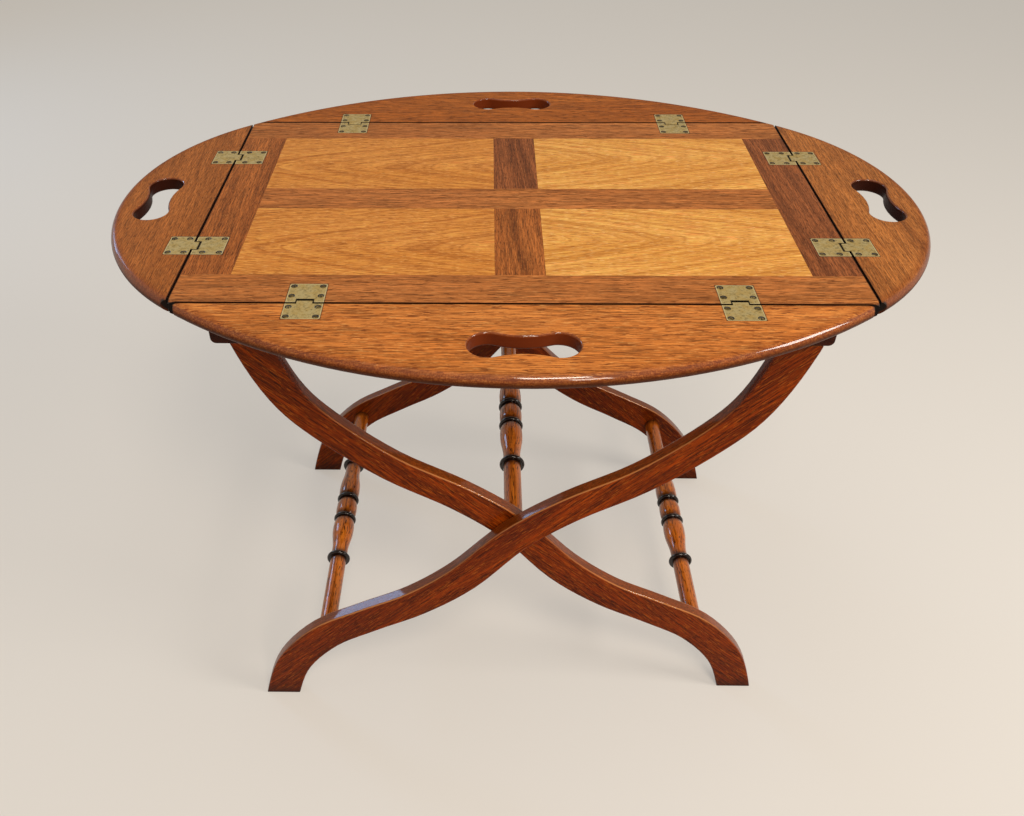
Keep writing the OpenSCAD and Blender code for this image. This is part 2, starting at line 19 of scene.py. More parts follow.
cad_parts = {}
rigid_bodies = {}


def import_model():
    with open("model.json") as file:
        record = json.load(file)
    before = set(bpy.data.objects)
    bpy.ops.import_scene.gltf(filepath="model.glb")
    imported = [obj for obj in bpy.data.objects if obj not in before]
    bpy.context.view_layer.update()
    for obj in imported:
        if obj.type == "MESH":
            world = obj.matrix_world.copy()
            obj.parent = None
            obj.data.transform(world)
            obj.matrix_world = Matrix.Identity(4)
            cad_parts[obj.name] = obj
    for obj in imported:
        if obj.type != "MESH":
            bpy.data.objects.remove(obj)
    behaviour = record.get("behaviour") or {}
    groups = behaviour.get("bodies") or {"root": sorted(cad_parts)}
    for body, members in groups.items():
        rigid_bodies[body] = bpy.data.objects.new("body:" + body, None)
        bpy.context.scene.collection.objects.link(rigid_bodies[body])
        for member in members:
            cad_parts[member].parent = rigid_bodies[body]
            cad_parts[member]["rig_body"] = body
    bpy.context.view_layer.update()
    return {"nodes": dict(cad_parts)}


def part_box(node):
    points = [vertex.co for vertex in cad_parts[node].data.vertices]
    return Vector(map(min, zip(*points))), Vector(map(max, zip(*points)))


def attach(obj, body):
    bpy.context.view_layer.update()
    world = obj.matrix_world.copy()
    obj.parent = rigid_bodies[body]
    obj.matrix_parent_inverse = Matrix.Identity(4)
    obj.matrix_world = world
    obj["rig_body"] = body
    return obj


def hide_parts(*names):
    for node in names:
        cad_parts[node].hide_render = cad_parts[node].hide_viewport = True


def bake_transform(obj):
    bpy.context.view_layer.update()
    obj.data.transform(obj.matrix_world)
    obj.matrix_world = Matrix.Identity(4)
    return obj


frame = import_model()
nodes = frame["nodes"]

# %% [markdown]
# The picture looks down on the table from chest height, a metre in front of its middle. A camera is set by
# where it stands, the way it looks and its lens, which comes from how fast the far side of the oval shrinks.
# A small shift of the lens moves the table in the picture without bending the oval.

# %% Camera
IMAGE_WIDTH = 1024
SENSOR_WIDTH = 36.0
FOCAL_PIXELS = 936.1
AXIS_LEFT_OF_MIDDLE = 40.5
AXIS_ABOVE_MIDDLE = 8.2
CAMERA_PLACE = Vector((-0.036, -1.000, 1.140))
LOOKING_DOWN = math.radians(38.7)
TURNED_LEFT = 0.018
TILTED = -0.006

camera = bpy.data.objects.new("camera", bpy.data.cameras.new("camera"))
bpy.context.scene.collection.objects.link(camera)
camera.data.sensor_width = SENSOR_WIDTH
camera.data.lens = FOCAL_PIXELS / IMAGE_WIDTH * SENSOR_WIDTH
camera.data.shift_x = AXIS_LEFT_OF_MIDDLE / IMAGE_WIDTH
camera.data.shift_y = -AXIS_ABOVE_MIDDLE / IMAGE_WIDTH
camera.location = CAMERA_PLACE
turn = Matrix.Rotation(TURNED_LEFT, 3, "Z") @ Matrix.Rotation(math.pi / 2 - LOOKING_DOWN, 3, "X")
camera.rotation_euler = (turn @ Matrix.Rotation(TILTED, 3, "Z")).to_euler()
bpy.context.scene.camera = camera
print("lens:", round(camera.data.lens, 2), "mm")

# %% [markdown]
# Colours are written as hex values as they look on a screen, and one function turns them to the linear
# values that Blender works in.

# %% Colours
def colour(code):
    channels = [int(code[i : i + 2], 16) / 255 for i in (1, 3, 5)]
    linear = [c / 12.92 if c <= 0.04045 else ((c + 0.055) / 1.055) ** 2.4 for c in channels]
    return (*linear, 1.0)


print("white is", colour("#ffffff")[:3], "and middle grey is", colour("#808080")[:3])

# %% [markdown]
# Every finish below is a tree of shader nodes. It could be drawn by hand in the shader editor, but a script
# makes the same tree for forty pieces. One small function adds a node, sets it and links it. A single word as
# settings is a maths node's operation, and a link to a node is one to its first output.

# %% Nodes and materials
MM = 0.001


def add(tree, kind, settings=None, links=None):
    node = tree.nodes.new("ShaderNode" + kind)
    if isinstance(settings, str):
        settings = {"operation": settings}
    for name, value in (settings or {}).items():
        if isinstance(name, str) and hasattr(node, name):
            setattr(node, name, value)
        else:
            node.inputs[name].default_value = value
    for name, source in (links or {}).items():
        output = source.outputs[0] if hasattr(source, "outputs") else source
        tree.links.new(output, node.inputs[name])
    return node


def new_material(name):
    material = bpy.data.materials.new(name)
    material.use_nodes = True
    material.node_tree.nodes.clear()
    return material, material.node_tree


print("sizes are in metres, 1 mm is", MM)

# %% [markdown]
# ## Mahogany
#
# Wood is not a picture laid on a surface: the same growth layers and pores run through the whole board, and
# each face is a cut through them. So the patterns here are three-dimensional. A mapping turns each piece so
# that its grain lies along X, and moves it to its own place in the log, so no two boards look the same.

# %% A piece's place in the log
def grain_frame(tree, along, face, place):
    along = Vector(along).normalized()
    face = Vector(face).normalized()
    settings = {"Rotation": Matrix((along, face.cross(along), face)).to_euler(), "Location": place}
    where = add(tree, "TexCoord").outputs["Object"]
    return add(tree, "Mapping", settings, {"Vector": where})


print("the grain lies along X of a piece's own frame")

# %% [markdown]
# A noise that is stretched along the grain makes all the small marks: broad bands, fine fibre streaks and
# pores differ only in how long and how wide they are. Real pores are about 0.2 mm wide and 3 to 8 mm long,
# too fine for this view, so they are drawn about four times as coarse.

# %% Marks that are stretched along the grain
def stretched(tree, grain, length, width, detail=2.0, roughness=0.5):
    size = (1 / length, 1 / width, 1 / width)
    scaled = add(tree, "VectorMath", {"operation": "MULTIPLY", 1: size}, {0: grain})
    return add(tree, "TexNoise", {"Detail": detail, "Roughness": roughness, "Scale": 1.0}, {"Vector": scaled})


print("one noise makes bands, streaks and pores")

# %% [markdown]
# A log grows in rings, and tapers, so its rings are nested cones. A flat-cut board slices the cones close to
# the heart, and the cut shows the nested arches of the panels. Far from the heart the same cut shows almost
# straight lines, as on the leaves. So the number of a ring is the distance from the heart, less the taper
# along the log. A noise over that number gives each ring its own darkness, a thin line ends the year, and a
# slow sway keeps the rings from being perfect circles.

# %% Growth rings
SWAY_LENGTH = 200 * MM
SWAY_WIDTH = 40 * MM
SWAY = 16 * MM
YEAR_LENGTH = 700 * MM
YEAR_LINE = 0.7


def growth_rings(tree, grain, spacing, depth, taper):
    """Darkness of the wood, from 0 to 1. depth: how far the heart lies under the face."""
    sway = stretched(tree, grain, SWAY_LENGTH, SWAY_WIDTH)
    half = {"operation": "SUBTRACT", 1: (0.5, 0.5, 0.5)}
    centred = add(tree, "VectorMath", half, {0: sway.outputs["Color"]})
    shifted = {"operation": "MULTIPLY_ADD", 1: (0, SWAY, SWAY)}
    swayed = add(tree, "VectorMath", shifted, {0: centred, 2: grain})
    from_heart = {"operation": "MULTIPLY_ADD", 1: (0, 1, 1), 2: (0, 0, depth)}
    across = add(tree, "VectorMath", from_heart, {0: swayed})
    reach = add(tree, "VectorMath", "LENGTH", {0: across})
    parts = add(tree, "SeparateXYZ", links={0: grain})
    cone = {"operation": "MULTIPLY_ADD", 1: -taper}
    tapered = add(tree, "Math", cone, {0: parts.outputs[0], 2: reach.outputs["Value"]})
    number = add(tree, "Math", {"operation": "DIVIDE", 1: spacing}, {0: tapered})

    along = add(tree, "Math", {"operation": "DIVIDE", 1: YEAR_LENGTH}, {0: parts.outputs[0]})
    place = add(tree, "CombineXYZ", links={0: number, 1: along})
    years = add(tree, "TexNoise", {"Detail": 3.0, "Roughness": 0.7, "Scale": 0.7}, {"Vector": place})
    year_part = add(tree, "MapRange", {"From Min": 0.4, "From Max": 0.66}, {0: years})
    ends = add(tree, "Math", {"operation": "PINGPONG", 1: 1.0}, {0: number})
    late = {"interpolation_type": "SMOOTHSTEP", "From Min": 0.84, "From Max": 1.0, "To Max": YEAR_LINE}
    end_part = add(tree, "MapRange", late, {0: ends})
    return add(tree, "Math", "MAXIMUM", {0: year_part, 1: end_part})


print("rings are nested cones round the heart of the log")

# %% [markdown]
# Bare mahogany is a few shades laid over one another by masks: a light wood that drifts to a second tone in
# broad bands, dark rings, fibre streaks that brighten and darken what is under them, pale flecks that are a
# painted sheen of fibres turned up to the light, and last the dark pores.

# %% Bare mahogany
BAND_LENGTH = 420 * MM
BAND_WIDTH = 60 * MM
RINGS = (7 * MM, 170 * MM, 0.02)
MARKS = (16 * MM, 1.6 * MM)
SHARES = {"ring": 0.65, "pore": 0.7, "fleck": 0.42, "streak": 0.65}


def bare_mahogany(tree, grain, shades, rings=RINGS, marks=MARKS, **shares):
    """shades: light wood, dark wood, drift, pore and a fleck of painted sheen. rings: spacing, depth and taper.
    """
    share = {**SHARES, **shares}
    light, dark, drift, pore, fleck = (colour(code) for code in shades)
    length, width = marks
    bands = stretched(tree, grain, BAND_LENGTH, BAND_WIDTH)
    band_part = add(tree, "MapRange", {"From Min": 0.36, "From Max": 0.64}, {0: bands})
    body = add(tree, "Mix", {"data_type": "RGBA", 6: light, 7: drift}, {0: band_part}).outputs[2]
    ring_part = growth_rings(tree, grain, *rings)
    ring_part = add(tree, "Math", {"operation": "MULTIPLY", 1: share["ring"]}, {0: ring_part})
    body = add(tree, "Mix", {"data_type": "RGBA", 7: dark}, {0: ring_part, 6: body}).outputs[2]

    streaks = stretched(tree, grain, 3 * length, 1.2 * width, 4.0, 0.75)
    tone = {"From Min": 0.36, "From Max": 0.64, "To Min": 0.12, "To Max": 0.88}
    streak_tone = add(tree, "MapRange", tone, {0: streaks})
    overlay = {"data_type": "RGBA", "blend_type": "OVERLAY", 0: share["streak"]}
    body = add(tree, "Mix", overlay, {6: body, 7: streak_tone}).outputs[2]

    # Pale flecks: painted sheen where the fibres turn up to the light.
    turned_up = stretched(tree, grain, 0.8 * length, width, 2.0, 0.6)
    pale = {"From Min": 0.42, "From Max": 0.34, "To Max": share["fleck"]}
    sheen_fleck_part = add(tree, "MapRange", pale, {0: turned_up})
    dashes = stretched(tree, grain, length, width, 2.0, 0.6)
    cut_off = {"From Min": 0.565, "From Max": 0.61, "To Max": share["pore"]}
    pore_part = add(tree, "MapRange", cut_off, {0: dashes})
    for mask, shade in ((sheen_fleck_part, fleck), (pore_part, pore)):
        body = add(tree, "Mix", {"data_type": "RGBA", 7: shade}, {0: mask, 6: body}).outputs[2]
    return body, pore_part, bands


print("bare wood: bands, rings, streaks, flecks and pores")

# %% [markdown]
# ## Stain, wax, wear and painted shade
#
# Dirt and old wax gather where a cloth can't reach: along the open joints and round the hinge plates. The
# worn corners where the leaves meet get dirt and the painted shade of the open gap. All of these are distances
# from a box or a point, so one helper measures how far a place is from a box, less than 0 inside it.

# %% Distance from a box
def box_distance(tree, where, low, high):
    middle = (Vector(low) + Vector(high)) / 2
    half = (Vector(high) - Vector(low)) / 2
    offset = add(tree, "VectorMath", {"operation": "SUBTRACT", 1: middle}, {0: where})
    reach = add(tree, "VectorMath", "ABSOLUTE", {0: offset})
    past = add(tree, "VectorMath", {"operation": "SUBTRACT", 1: half}, {0: reach})
    parts = add(tree, "SeparateXYZ", links={0: past})
    return add(tree, "Math", "MAXIMUM", {0: parts.outputs[0], 1: parts.outputs[1]})


BOARD_HALF = Vector((351 * MM, 225 * MM, 0))
JOINT_HALF = 1.3 * MM
print("middle of the joints at", BOARD_HALF[:2])

# %% [markdown]
# These masks are places on the tray: the dirt along a joint, the ragged corner where two leaves meet, worn
# and darkened with painted shade of the open gap, and the band that hands have darkened, from 13 to 5 mm
# inside the outline. The outline is an arc, so the band is a distance from the arc's centre.

# %% Joints, corners and the handled rim
JOINT_DIRT = 0.9 * MM
CORNER_WEAR = 2.8 * MM
CORNER_RAGGED = 16 * MM
CORNER = (BOARD_HALF.x, BOARD_HALF.y, 636 * MM)


def joint_line(tree, where):
    past = box_distance(tree, where, -BOARD_HALF, BOARD_HALF)
    beside = add(tree, "Math", "ABSOLUTE", {0: past})
    inner = JOINT_HALF + 0.2 * JOINT_DIRT
    settings = {"From Min": inner, "From Max": JOINT_HALF + JOINT_DIRT, "To Min": 0.8, "To Max": 0}
    return add(tree, "MapRange", settings, {0: beside})


# Wear at the corner where the leaves meet, with painted shade of the open gap.
def worn_and_shaded_corner(tree, mirrored, uneven, steep):
    apart = add(tree, "VectorMath", {"operation": "DISTANCE", 1: CORNER}, {0: mirrored})
    moved = {"operation": "MULTIPLY_ADD", 1: -CORNER_RAGGED}
    ragged = add(tree, "Math", moved, {0: uneven, 2: apart.outputs["Value"]})
    settings = {"From Min": 0, "From Max": CORNER_WEAR, "To Min": 0.97, "To Max": 0}
    near = add(tree, "MapRange", settings, {0: ragged})
    return add(tree, "Math", "MULTIPLY", {0: near, 1: steep})


def handled_edge(tree, mirrored, centre, radius):
    level = add(tree, "VectorMath", {"operation": "MULTIPLY", 1: (1, 1, 0)}, {0: mirrored})
    reach = add(tree, "VectorMath", {"operation": "DISTANCE", 1: centre}, {0: level})
    settings = {"From Min": radius - 13 * MM, "From Max": radius - 5 * MM, "To Max": 0.6}
    return add(tree, "MapRange", settings, {0: reach.outputs["Value"]})


print("masks: joint line, worn corner, handled edge")

# %% [markdown]
# Other masks follow the way a face looks. The round edges and walls of a board are darker than its flat top:
# partly stain, taken more by fibres cut across, and partly painted shade. The upward part of the normal is 1
# on a level top, about 0.7 half way round an edge and 0 on a wall. The walls of a hand hole are the upright
# faces inside the hole's box, painted dark as a darker finish and painted shade, and the wax round a hinge
# plate lies on the top only.

# %% Steep faces, hand holes and plates
LEVEL = 0.985
STEEP = 0.72
HOLE_BLUR = 2 * MM
HALO = (0.1 * MM, 1.3 * MM)


def steepness(tree, normal):
    """0 on a level face, 1 on a round edge or an upright wall."""
    parts = add(tree, "SeparateXYZ", links={0: normal})
    level = add(tree, "Math", "ABSOLUTE", {0: parts.outputs[2]})
    settings = {"interpolation_type": "SMOOTHSTEP", "From Min": LEVEL, "From Max": STEEP}
    return add(tree, "MapRange", settings, {0: level})


# The inside of a hand hole, which gets a darker finish and painted shade.
def hole_wall(tree, mirrored, upward, hole_box):
    past = box_distance(tree, mirrored, *hole_box)
    settings = {"From Min": 0, "From Max": HOLE_BLUR, "To Min": 1, "To Max": 0}
    inside = add(tree, "MapRange", settings, {0: past})
    level = add(tree, "Math", "ABSOLUTE", {0: upward})
    upright = add(tree, "MapRange", {"From Min": 0.8, "From Max": 0.2, "To Max": 0.94}, {0: level})
    return add(tree, "Math", "MULTIPLY", {0: inside, 1: upright})


def plate_halo(tree, mirrored, upward, plate_box):
    past = box_distance(tree, mirrored, *plate_box)
    settings = {"From Min": HALO[0], "From Max": HALO[1], "To Min": 0.85, "To Max": 0}
    halo = add(tree, "MapRange", settings, {0: past})
    shown = add(tree, "MapRange", {"From Min": 0.3, "From Max": 0.6}, {0: upward})
    return add(tree, "Math", "MULTIPLY", {0: halo, 1: shown})


print("masks: steep faces, hole walls, wax round the plates")

# %% [markdown]
# A board's stains and painted shade are laid on one after another. Faces turned down and the walls of the
# hand holes are painted darker as painted shade. The stain on the edges is spotted, because it sank into the
# open pores there: real ones are dots of 0.2 mm, drawn here as 1.4 mm. The round edges keep the most polish,
# the underside and the walls of the hand holes hardly any.

# %% Stains, painted shade and polish of a board
GRIME = "#170a05"
EDGE_STAIN_AND_SHADE = "#6c2a08"
UNDERSIDE_SHADE = "#2c0e04"
CORNER_WEAR_AND_GAP_SHADE = "#0a0402"
SPOT = 1.43 * MM
FLAT_COAT = 0.06


def board_finish_and_shade(tree, coordinates, uneven, plate_box=None, hole_box=None, wall_stain=None, outline=None):
    """Stains and painted shade as pairs of a mask and a colour, and the polish that is left."""
    where = coordinates.outputs["Object"]
    mirrored = add(tree, "VectorMath", "ABSOLUTE", {0: where})
    upward = add(tree, "SeparateXYZ", links={0: coordinates.outputs["Normal"]}).outputs[2]
    steep = steepness(tree, coordinates.outputs["Normal"])

    pores = add(tree, "TexNoise", {"Scale": 1 / SPOT, "Detail": 2.0, "Roughness": 0.6}, {"Vector": where})
    settings = {"From Min": 0.4, "From Max": 0.6, "To Min": 0.5, "To Max": 0.85}
    spotted = add(tree, "MapRange", settings, {0: pores})
    # Edges: partly stain in cross-cut fibres and the handled band, partly painted shade on the steep faces.
    edge = steep
    if outline:
        handled = handled_edge(tree, mirrored, *outline)
        edge = add(tree, "Math", "MAXIMUM", {0: edge, 1: handled})
    edge = add(tree, "Math", "MULTIPLY", {0: edge, 1: spotted})
    # Faces turned down get painted shade.
    under = add(tree, "MapRange", {"From Min": 0.45, "From Max": -0.1, "To Max": 0.75}, {0: upward})
    stains = [(edge, EDGE_STAIN_AND_SHADE), (under, UNDERSIDE_SHADE)]
    kept = add(tree, "MapRange", {"From Min": 0.15, "From Max": 0.6, "To Min": 0.04}, {0: upward})
    # The walls of a hand hole: a darker finish and painted shade.
    if hole_box:
        wall = hole_wall(tree, mirrored, upward, hole_box)
        stains.append((wall, wall_stain))
        bare = add(tree, "MapRange", {"To Min": 1, "To Max": 0.15}, {0: wall})
        kept = add(tree, "Math", "MULTIPLY", {0: kept, 1: bare})
    if plate_box:
        stains.append((plate_halo(tree, mirrored, upward, plate_box), GRIME))
    stains.append((joint_line(tree, where), GRIME))
    # The corner where the leaves meet: wear and painted shade of the open gap.
    stains.append((worn_and_shaded_corner(tree, mirrored, uneven, steep), CORNER_WEAR_AND_GAP_SHADE))
    polish = add(tree, "MapRange", {"To Min": FLAT_COAT, "To Max": 1.0}, {0: steep})
    polish = add(tree, "Math", "MULTIPLY", {0: polish, 1: kept})
    return stains, polish


print("edges are stained", EDGE_STAIN_AND_SHADE, "and joints", GRIME)

# %% [markdown]
# The stand is shaded in another way. Its upper faces and upper arrises are painted lighter, as painted light
# and painted highlights, the lower arrises are painted darker as painted shade, and the lowest 20 mm of the
# feet are darker towards the floor. An arris is where the normal points both up and to the side, so its two
# parts are multiplied. Most polish is left on the upper faces.

# %% Painted light and shade, and polish of the stand
FOOT_DARK_BAND = (2 * MM, 22 * MM)
# Painted light on upper faces, painted highlight on upper arrises, painted shade on lower arrises, darker feet.
STAND_LIGHT_AND_SHADE = ("#96541e", "#c88044", "#1c0802", "#200a03")


def stand_light_and_polish(tree, coordinates, upper_gloss):
    normal = add(tree, "SeparateXYZ", links={0: coordinates.outputs["Normal"]})
    upward = normal.outputs[2]
    # Upper faces are painted lighter: painted light.
    on_top = add(tree, "MapRange", {"From Min": 0.35, "From Max": 0.85, "To Max": 0.35}, {0: upward})
    level = add(tree, "Math", "ABSOLUTE", {0: upward})
    sideways = add(tree, "Math", "ABSOLUTE", {0: normal.outputs[1]})
    between = add(tree, "Math", "MULTIPLY", {0: level, 1: sideways})
    arris = add(tree, "Math", "MULTIPLY", {0: upward, 1: between})
    # Upper arrises are painted lighter: painted highlight.
    rubbed = add(tree, "MapRange", {"From Min": 0.08, "From Max": 0.25, "To Max": 0.85}, {0: arris})
    # Lower arrises are painted darker: painted shade.
    shaded_arris = add(tree, "MapRange", {"From Min": -0.08, "From Max": -0.3, "To Max": 0.8}, {0: arris})
    # The lowest 20 mm of the feet are darker towards the floor.
    height = add(tree, "SeparateXYZ", links={0: coordinates.outputs["Object"]})
    settings = {"From Min": FOOT_DARK_BAND[0], "From Max": FOOT_DARK_BAND[1], "To Min": 0.75, "To Max": 0}
    darker_feet = add(tree, "MapRange", settings, {0: height.outputs[2]})
    masks = (on_top, rubbed, shaded_arris, darker_feet)
    settings = {"From Min": 0.1, "From Max": 0.6, "To Min": FLAT_COAT, "To Max": upper_gloss}
    polish = add(tree, "MapRange", settings, {0: upward})
    return list(zip(masks, STAND_LIGHT_AND_SHADE)), polish


print("the stand is rubbed on top, waxed below and scuffed up to", FOOT_DARK_BAND[1])

# %% [markdown]
# The finish itself is French polish: many thin coats of shellac, rubbed to a satin on the flat top and left
# glossier on the round edges, which get more wax and more hands. It gives the eye a deep colour and a thin,
# sharp light on the edges. Shellac is clear, so it is a coat over the wood, with an IOR of 1.5. The wood
# shines little itself, and its pores are small dents.

# %% Polished mahogany
def polished_mahogany(name, shades, along, face, place, board=None, upper_gloss=None, coat_rough=0.2, **wood):
    """board and upper_gloss choose the stains and painted shade of a board or the painted light of the stand.
    wood goes to bare_mahogany.
    """
    material, tree = new_material(name)
    grain = grain_frame(tree, along, face, place)
    body, pore_part, bands = bare_mahogany(tree, grain, shades, **wood)
    gloss = add(tree, "MapRange", {"To Min": 0.45, "To Max": 0.6}, {0: pore_part})
    pits = {"Strength": 0.25, "Distance": 0.1 * MM, "invert": True}
    dents = add(tree, "Bump", pits, {"Height": pore_part})
    shellac = {"Coat Weight": FLAT_COAT, "Coat Roughness": coat_rough, "Coat IOR": 1.5}
    settings = {"IOR": 1.5, "Specular IOR Level": 0.08, **shellac}
    shader = add(tree, "BsdfPrincipled", settings, {"Roughness": gloss, "Normal": dents})

    coordinates = add(tree, "TexCoord")
    stains, polish = [], None
    if board is not None:
        stains, polish = board_finish_and_shade(tree, coordinates, bands, **board)
    elif upper_gloss:
        stains, polish = stand_light_and_polish(tree, coordinates, upper_gloss)
    if polish:
        tree.links.new(polish.outputs[0], shader.inputs["Coat Weight"])
    for mask, shade in stains:
        body = add(tree, "Mix", {"data_type": "RGBA", 7: colour(shade)}, {0: mask, 6: body}).outputs[2]
    tree.links.new(body, shader.inputs["Base Color"])
    add(tree, "OutputMaterial", links={"Surface": shader})
    return material


print("wood finish ready")

# %% [markdown]
# ## The tray
#
# The boards have faded differently: rails and leaves are a warm mid brown, the stiles are darker and redder.
# The grain runs along every member, and along X on the long leaves. The last three numbers are the board's
# place in the log, in metres.

# %% Shades of the boards
UP = (0, 0, 1)
ALONG_X = (1, 0, 0)
ALONG_Y = (0, 1, 0)
RAIL_SHADES = ("#ba723a", "#905424", "#ac6630", "#5c2e10", "#d49254")
STILE_SHADES = ("#ae652e", "#6a3614", "#9c5624", "#3e1c0a", "#c68448")
DARK_STILE_SHADES = ("#98572e", "#50260e", "#864a24", "#2e1208", "#b27246")

boards = {
    "front_leaf": (("#d2823e", "#9c5a24", "#c47230", "#622c0e", "#ecaa60"), ALONG_X, (0.31, 0.12, 0.07)),
    "back_leaf": (("#b06220", "#804010", "#9e5418", "#4e2408", "#c67a38"), ALONG_X, (1.17, 0.45, 0.21)),
    "left_leaf": (("#b06830", "#82481c", "#a05c26", "#4e260c", "#c8884a"), ALONG_Y, (2.13, 0.83, 0.35)),
    "right_leaf": (("#b06c32", "#80481e", "#a0602c", "#4a260e", "#ce8e52"), ALONG_Y, (3.41, 1.27, 0.49)),
    "front_rail": (RAIL_SHADES, ALONG_X, (4.07, 1.61, 0.63)),
    "back_rail": (RAIL_SHADES, ALONG_X, (5.23, 2.03, 0.77)),
    "mid_rail": (RAIL_SHADES, ALONG_X, (6.11, 2.41, 0.91)),
    "left_stile": (STILE_SHADES, ALONG_Y, (7.19, 2.87, 1.05)),
    "right_stile": (DARK_STILE_SHADES, ALONG_Y, (8.03, 3.29, 1.19)),
    "mid_stile_front": (STILE_SHADES, ALONG_Y, (9.29, 3.61, 1.33)),
    "mid_stile_back": (DARK_STILE_SHADES, ALONG_Y, (10.37, 4.07, 1.47)),
}
print("boards:", len(boards))

# %% [markdown]
# The tray is the same on both sides of its middle, so every stained place is mirrored to where x and y are
# positive, and one plate and one hand hole stand for all. Boards with the grain along Y were cut nearer to
# the heart, and their marks are finer.

# %% Places of the stains, and the boards' wood
LONG_LEAF = {
    "hole_box": ((-55 * MM, 270 * MM, 0), (55 * MM, 317 * MM, 0)),
    "wall_stain": "#6c2a0a",
    "outline": ((0, -226.07 * MM, 0), 571.5 * MM),
}
END_LEAF = {
    "hole_box": ((396 * MM, -55 * MM, 0), (443 * MM, 55 * MM, 0)),
    "wall_stain": "#2a0a02",
    "outline": ((183.49 * MM, 0, 0), 280.5 * MM),
}
WOOD_ALONG_X = {"marks": (14 * MM, 1.6 * MM), "rings": (5 * MM, 150 * MM, 0.02), "pore": 0.72, "ring": 0.65}
WOOD_ALONG_Y = {"marks": (9 * MM, 1.0 * MM), "rings": (6 * MM, 40 * MM, 0.06), "pore": 0.62, "ring": 0.8}


def mirrored_box(node):
    """The box of a node, moved to the side where x and y are positive."""
    corners = [[abs(value) for value in corner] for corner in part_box(node)]
    return [min(pair) for pair in zip(*corners)], [max(pair) for pair in zip(*corners)]


for name, (shades, along, place) in boards.items():
    is_long = along == ALONG_X
    side = name.split("_")[0]
    board = {}
    if name.endswith("leaf"):
        board = dict(LONG_LEAF if is_long else END_LEAF)
    if side != "mid":
        plate = ("leaf_plate_" if board else "board_plate_") + side
        board["plate_box"] = mirrored_box(plate + ("_right" if is_long else "_back"))
    title = "French polished mahogany " + name
    wood = WOOD_ALONG_X if is_long else WOOD_ALONG_Y
    nodes[name].data.materials[0] = polished_mahogany(
        title, shades, along, UP, place, board=board, coat_rough=0.05, streak=0.7, **wood
    )
    print(name, "stained:", ", ".join(board) or "joints and edges")

# %% [markdown]
# The four panels have gone to a golden brown. They were cut close to the heart, so they show arches. Left and
# right are opened like a book from one plank, so one taper is the other with its sign changed. The place is
# the tip of the inner arch, on the face of the tray.

# %% Panels
TRAY_TOP = 640 * MM
LEFT_PANEL_SHADES = ("#e29a4a", "#a45a1e", "#d68c3c", "#864614", "#fabe70")
RIGHT_PANEL_SHADES = ("#f2b25c", "#b67026", "#e6a24c", "#96561c", "#ffd690")
PANEL_WOOD = {"marks": (12 * MM, 1.6 * MM), "ring": 0.85, "pore": 0.52, "fleck": 0.45, "streak": 0.5}
ARCHES = (8 * MM, 14 * MM, 0.25)
BOOK_MATCHED = (8 * MM, 14 * MM, -0.25)
panels = {
    "panel_front_left": (LEFT_PANEL_SHADES, -88 * MM, -116 * MM, ARCHES),
    "panel_front_right": (RIGHT_PANEL_SHADES, 138 * MM, -97 * MM, BOOK_MATCHED),
    "panel_back_left": (LEFT_PANEL_SHADES, -128 * MM, 85 * MM, ARCHES),
    "panel_back_right": (RIGHT_PANEL_SHADES, 103 * MM, 110 * MM, BOOK_MATCHED),
}
for name, (shades, tip_x, tip_y, rings) in panels.items():
    title = "flat-cut golden mahogany " + name
    place = (-tip_x, -tip_y, -TRAY_TOP)
    wood = polished_mahogany(title, shades, ALONG_X, UP, place, rings=rings, **PANEL_WOOD)
    nodes[name].data.materials[0] = wood
print("panels:", len(panels))

# %% [markdown]
# ## The stand
#
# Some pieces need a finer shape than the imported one. The model's mesh is never changed: a bmesh takes a copy
# of it, with its triangles welded, and a finished shape becomes an object of its own.

# %% From a node to a shape, and from a shape to a piece
def welded_shape(node):
    shape = bmesh.new()
    shape.from_mesh(nodes[node].data)
    bmesh.ops.remove_doubles(shape, verts=shape.verts, dist=1e-6)
    return shape


def new_piece(name, shape, sharp_angle=None):
    """With a sharp angle, in degrees, the piece is smooth where it bends less than that."""
    mesh = bpy.data.meshes.new(name)
    for face in shape.faces:
        face.smooth = sharp_angle is not None
    shape.to_mesh(mesh)
    shape.free()
    if sharp_angle:
        mesh.set_sharp_from_angle(angle=math.radians(sharp_angle))
    piece = bpy.data.objects.new(name, mesh)
    bpy.context.scene.collection.objects.link(piece)
    return piece


print("shapes are built in the frame of the model")

# %% [markdown]
# The edges of legs and rails were rounded over by hand, and they catch thin highlights. A copy of the
# modelled piece gets these rounded edges with a bevel on chosen edges only. A plain bevel modifier would also
# round the mortises, where nothing shows, and spoil the fit.

# %% A copy with rounded edges
FLAT_ENOUGH = math.radians(0.4)
SHARP_EDGE = 0.7


def rounded_copy(node, radius, is_arris, wood):
    shape = welded_shape(node)
    bmesh.ops.dissolve_limit(shape, angle_limit=FLAT_ENOUGH, verts=shape.verts, edges=shape.edges)
    sharp = [e for e in shape.edges if len(e.link_faces) == 2 and e.calc_face_angle() > SHARP_EDGE]
    arrises = [edge for edge in sharp if is_arris(*(vert.co for vert in edge.verts))]
    bmesh.ops.bevel(
        shape, geom=arrises, offset=radius, segments=3, profile=0.5, affect="EDGES", clamp_overlap=False
    )
    piece = new_piece("rounded_" + node, shape, 36)
    normals = piece.modifiers.new("flat faces stay flat", "WEIGHTED_NORMAL")
    normals.keep_sharp = True
    piece.data.materials.append(wood)
    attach(piece, nodes[node]["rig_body"])
    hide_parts(node)
    print(piece.name, "rounded edges:", len(arrises))


print("an arris turns by more than", round(math.degrees(SHARP_EDGE)), "degrees")

# %% [markdown]
# A leg is sawn from one board along its overall slope, so the grain runs straight from foot to top while the
# leg curves across it. The long edges of its front and back faces are rounded by 2.2 mm, which keeps clear of
# the pivot and of the socket for the lower stretcher.

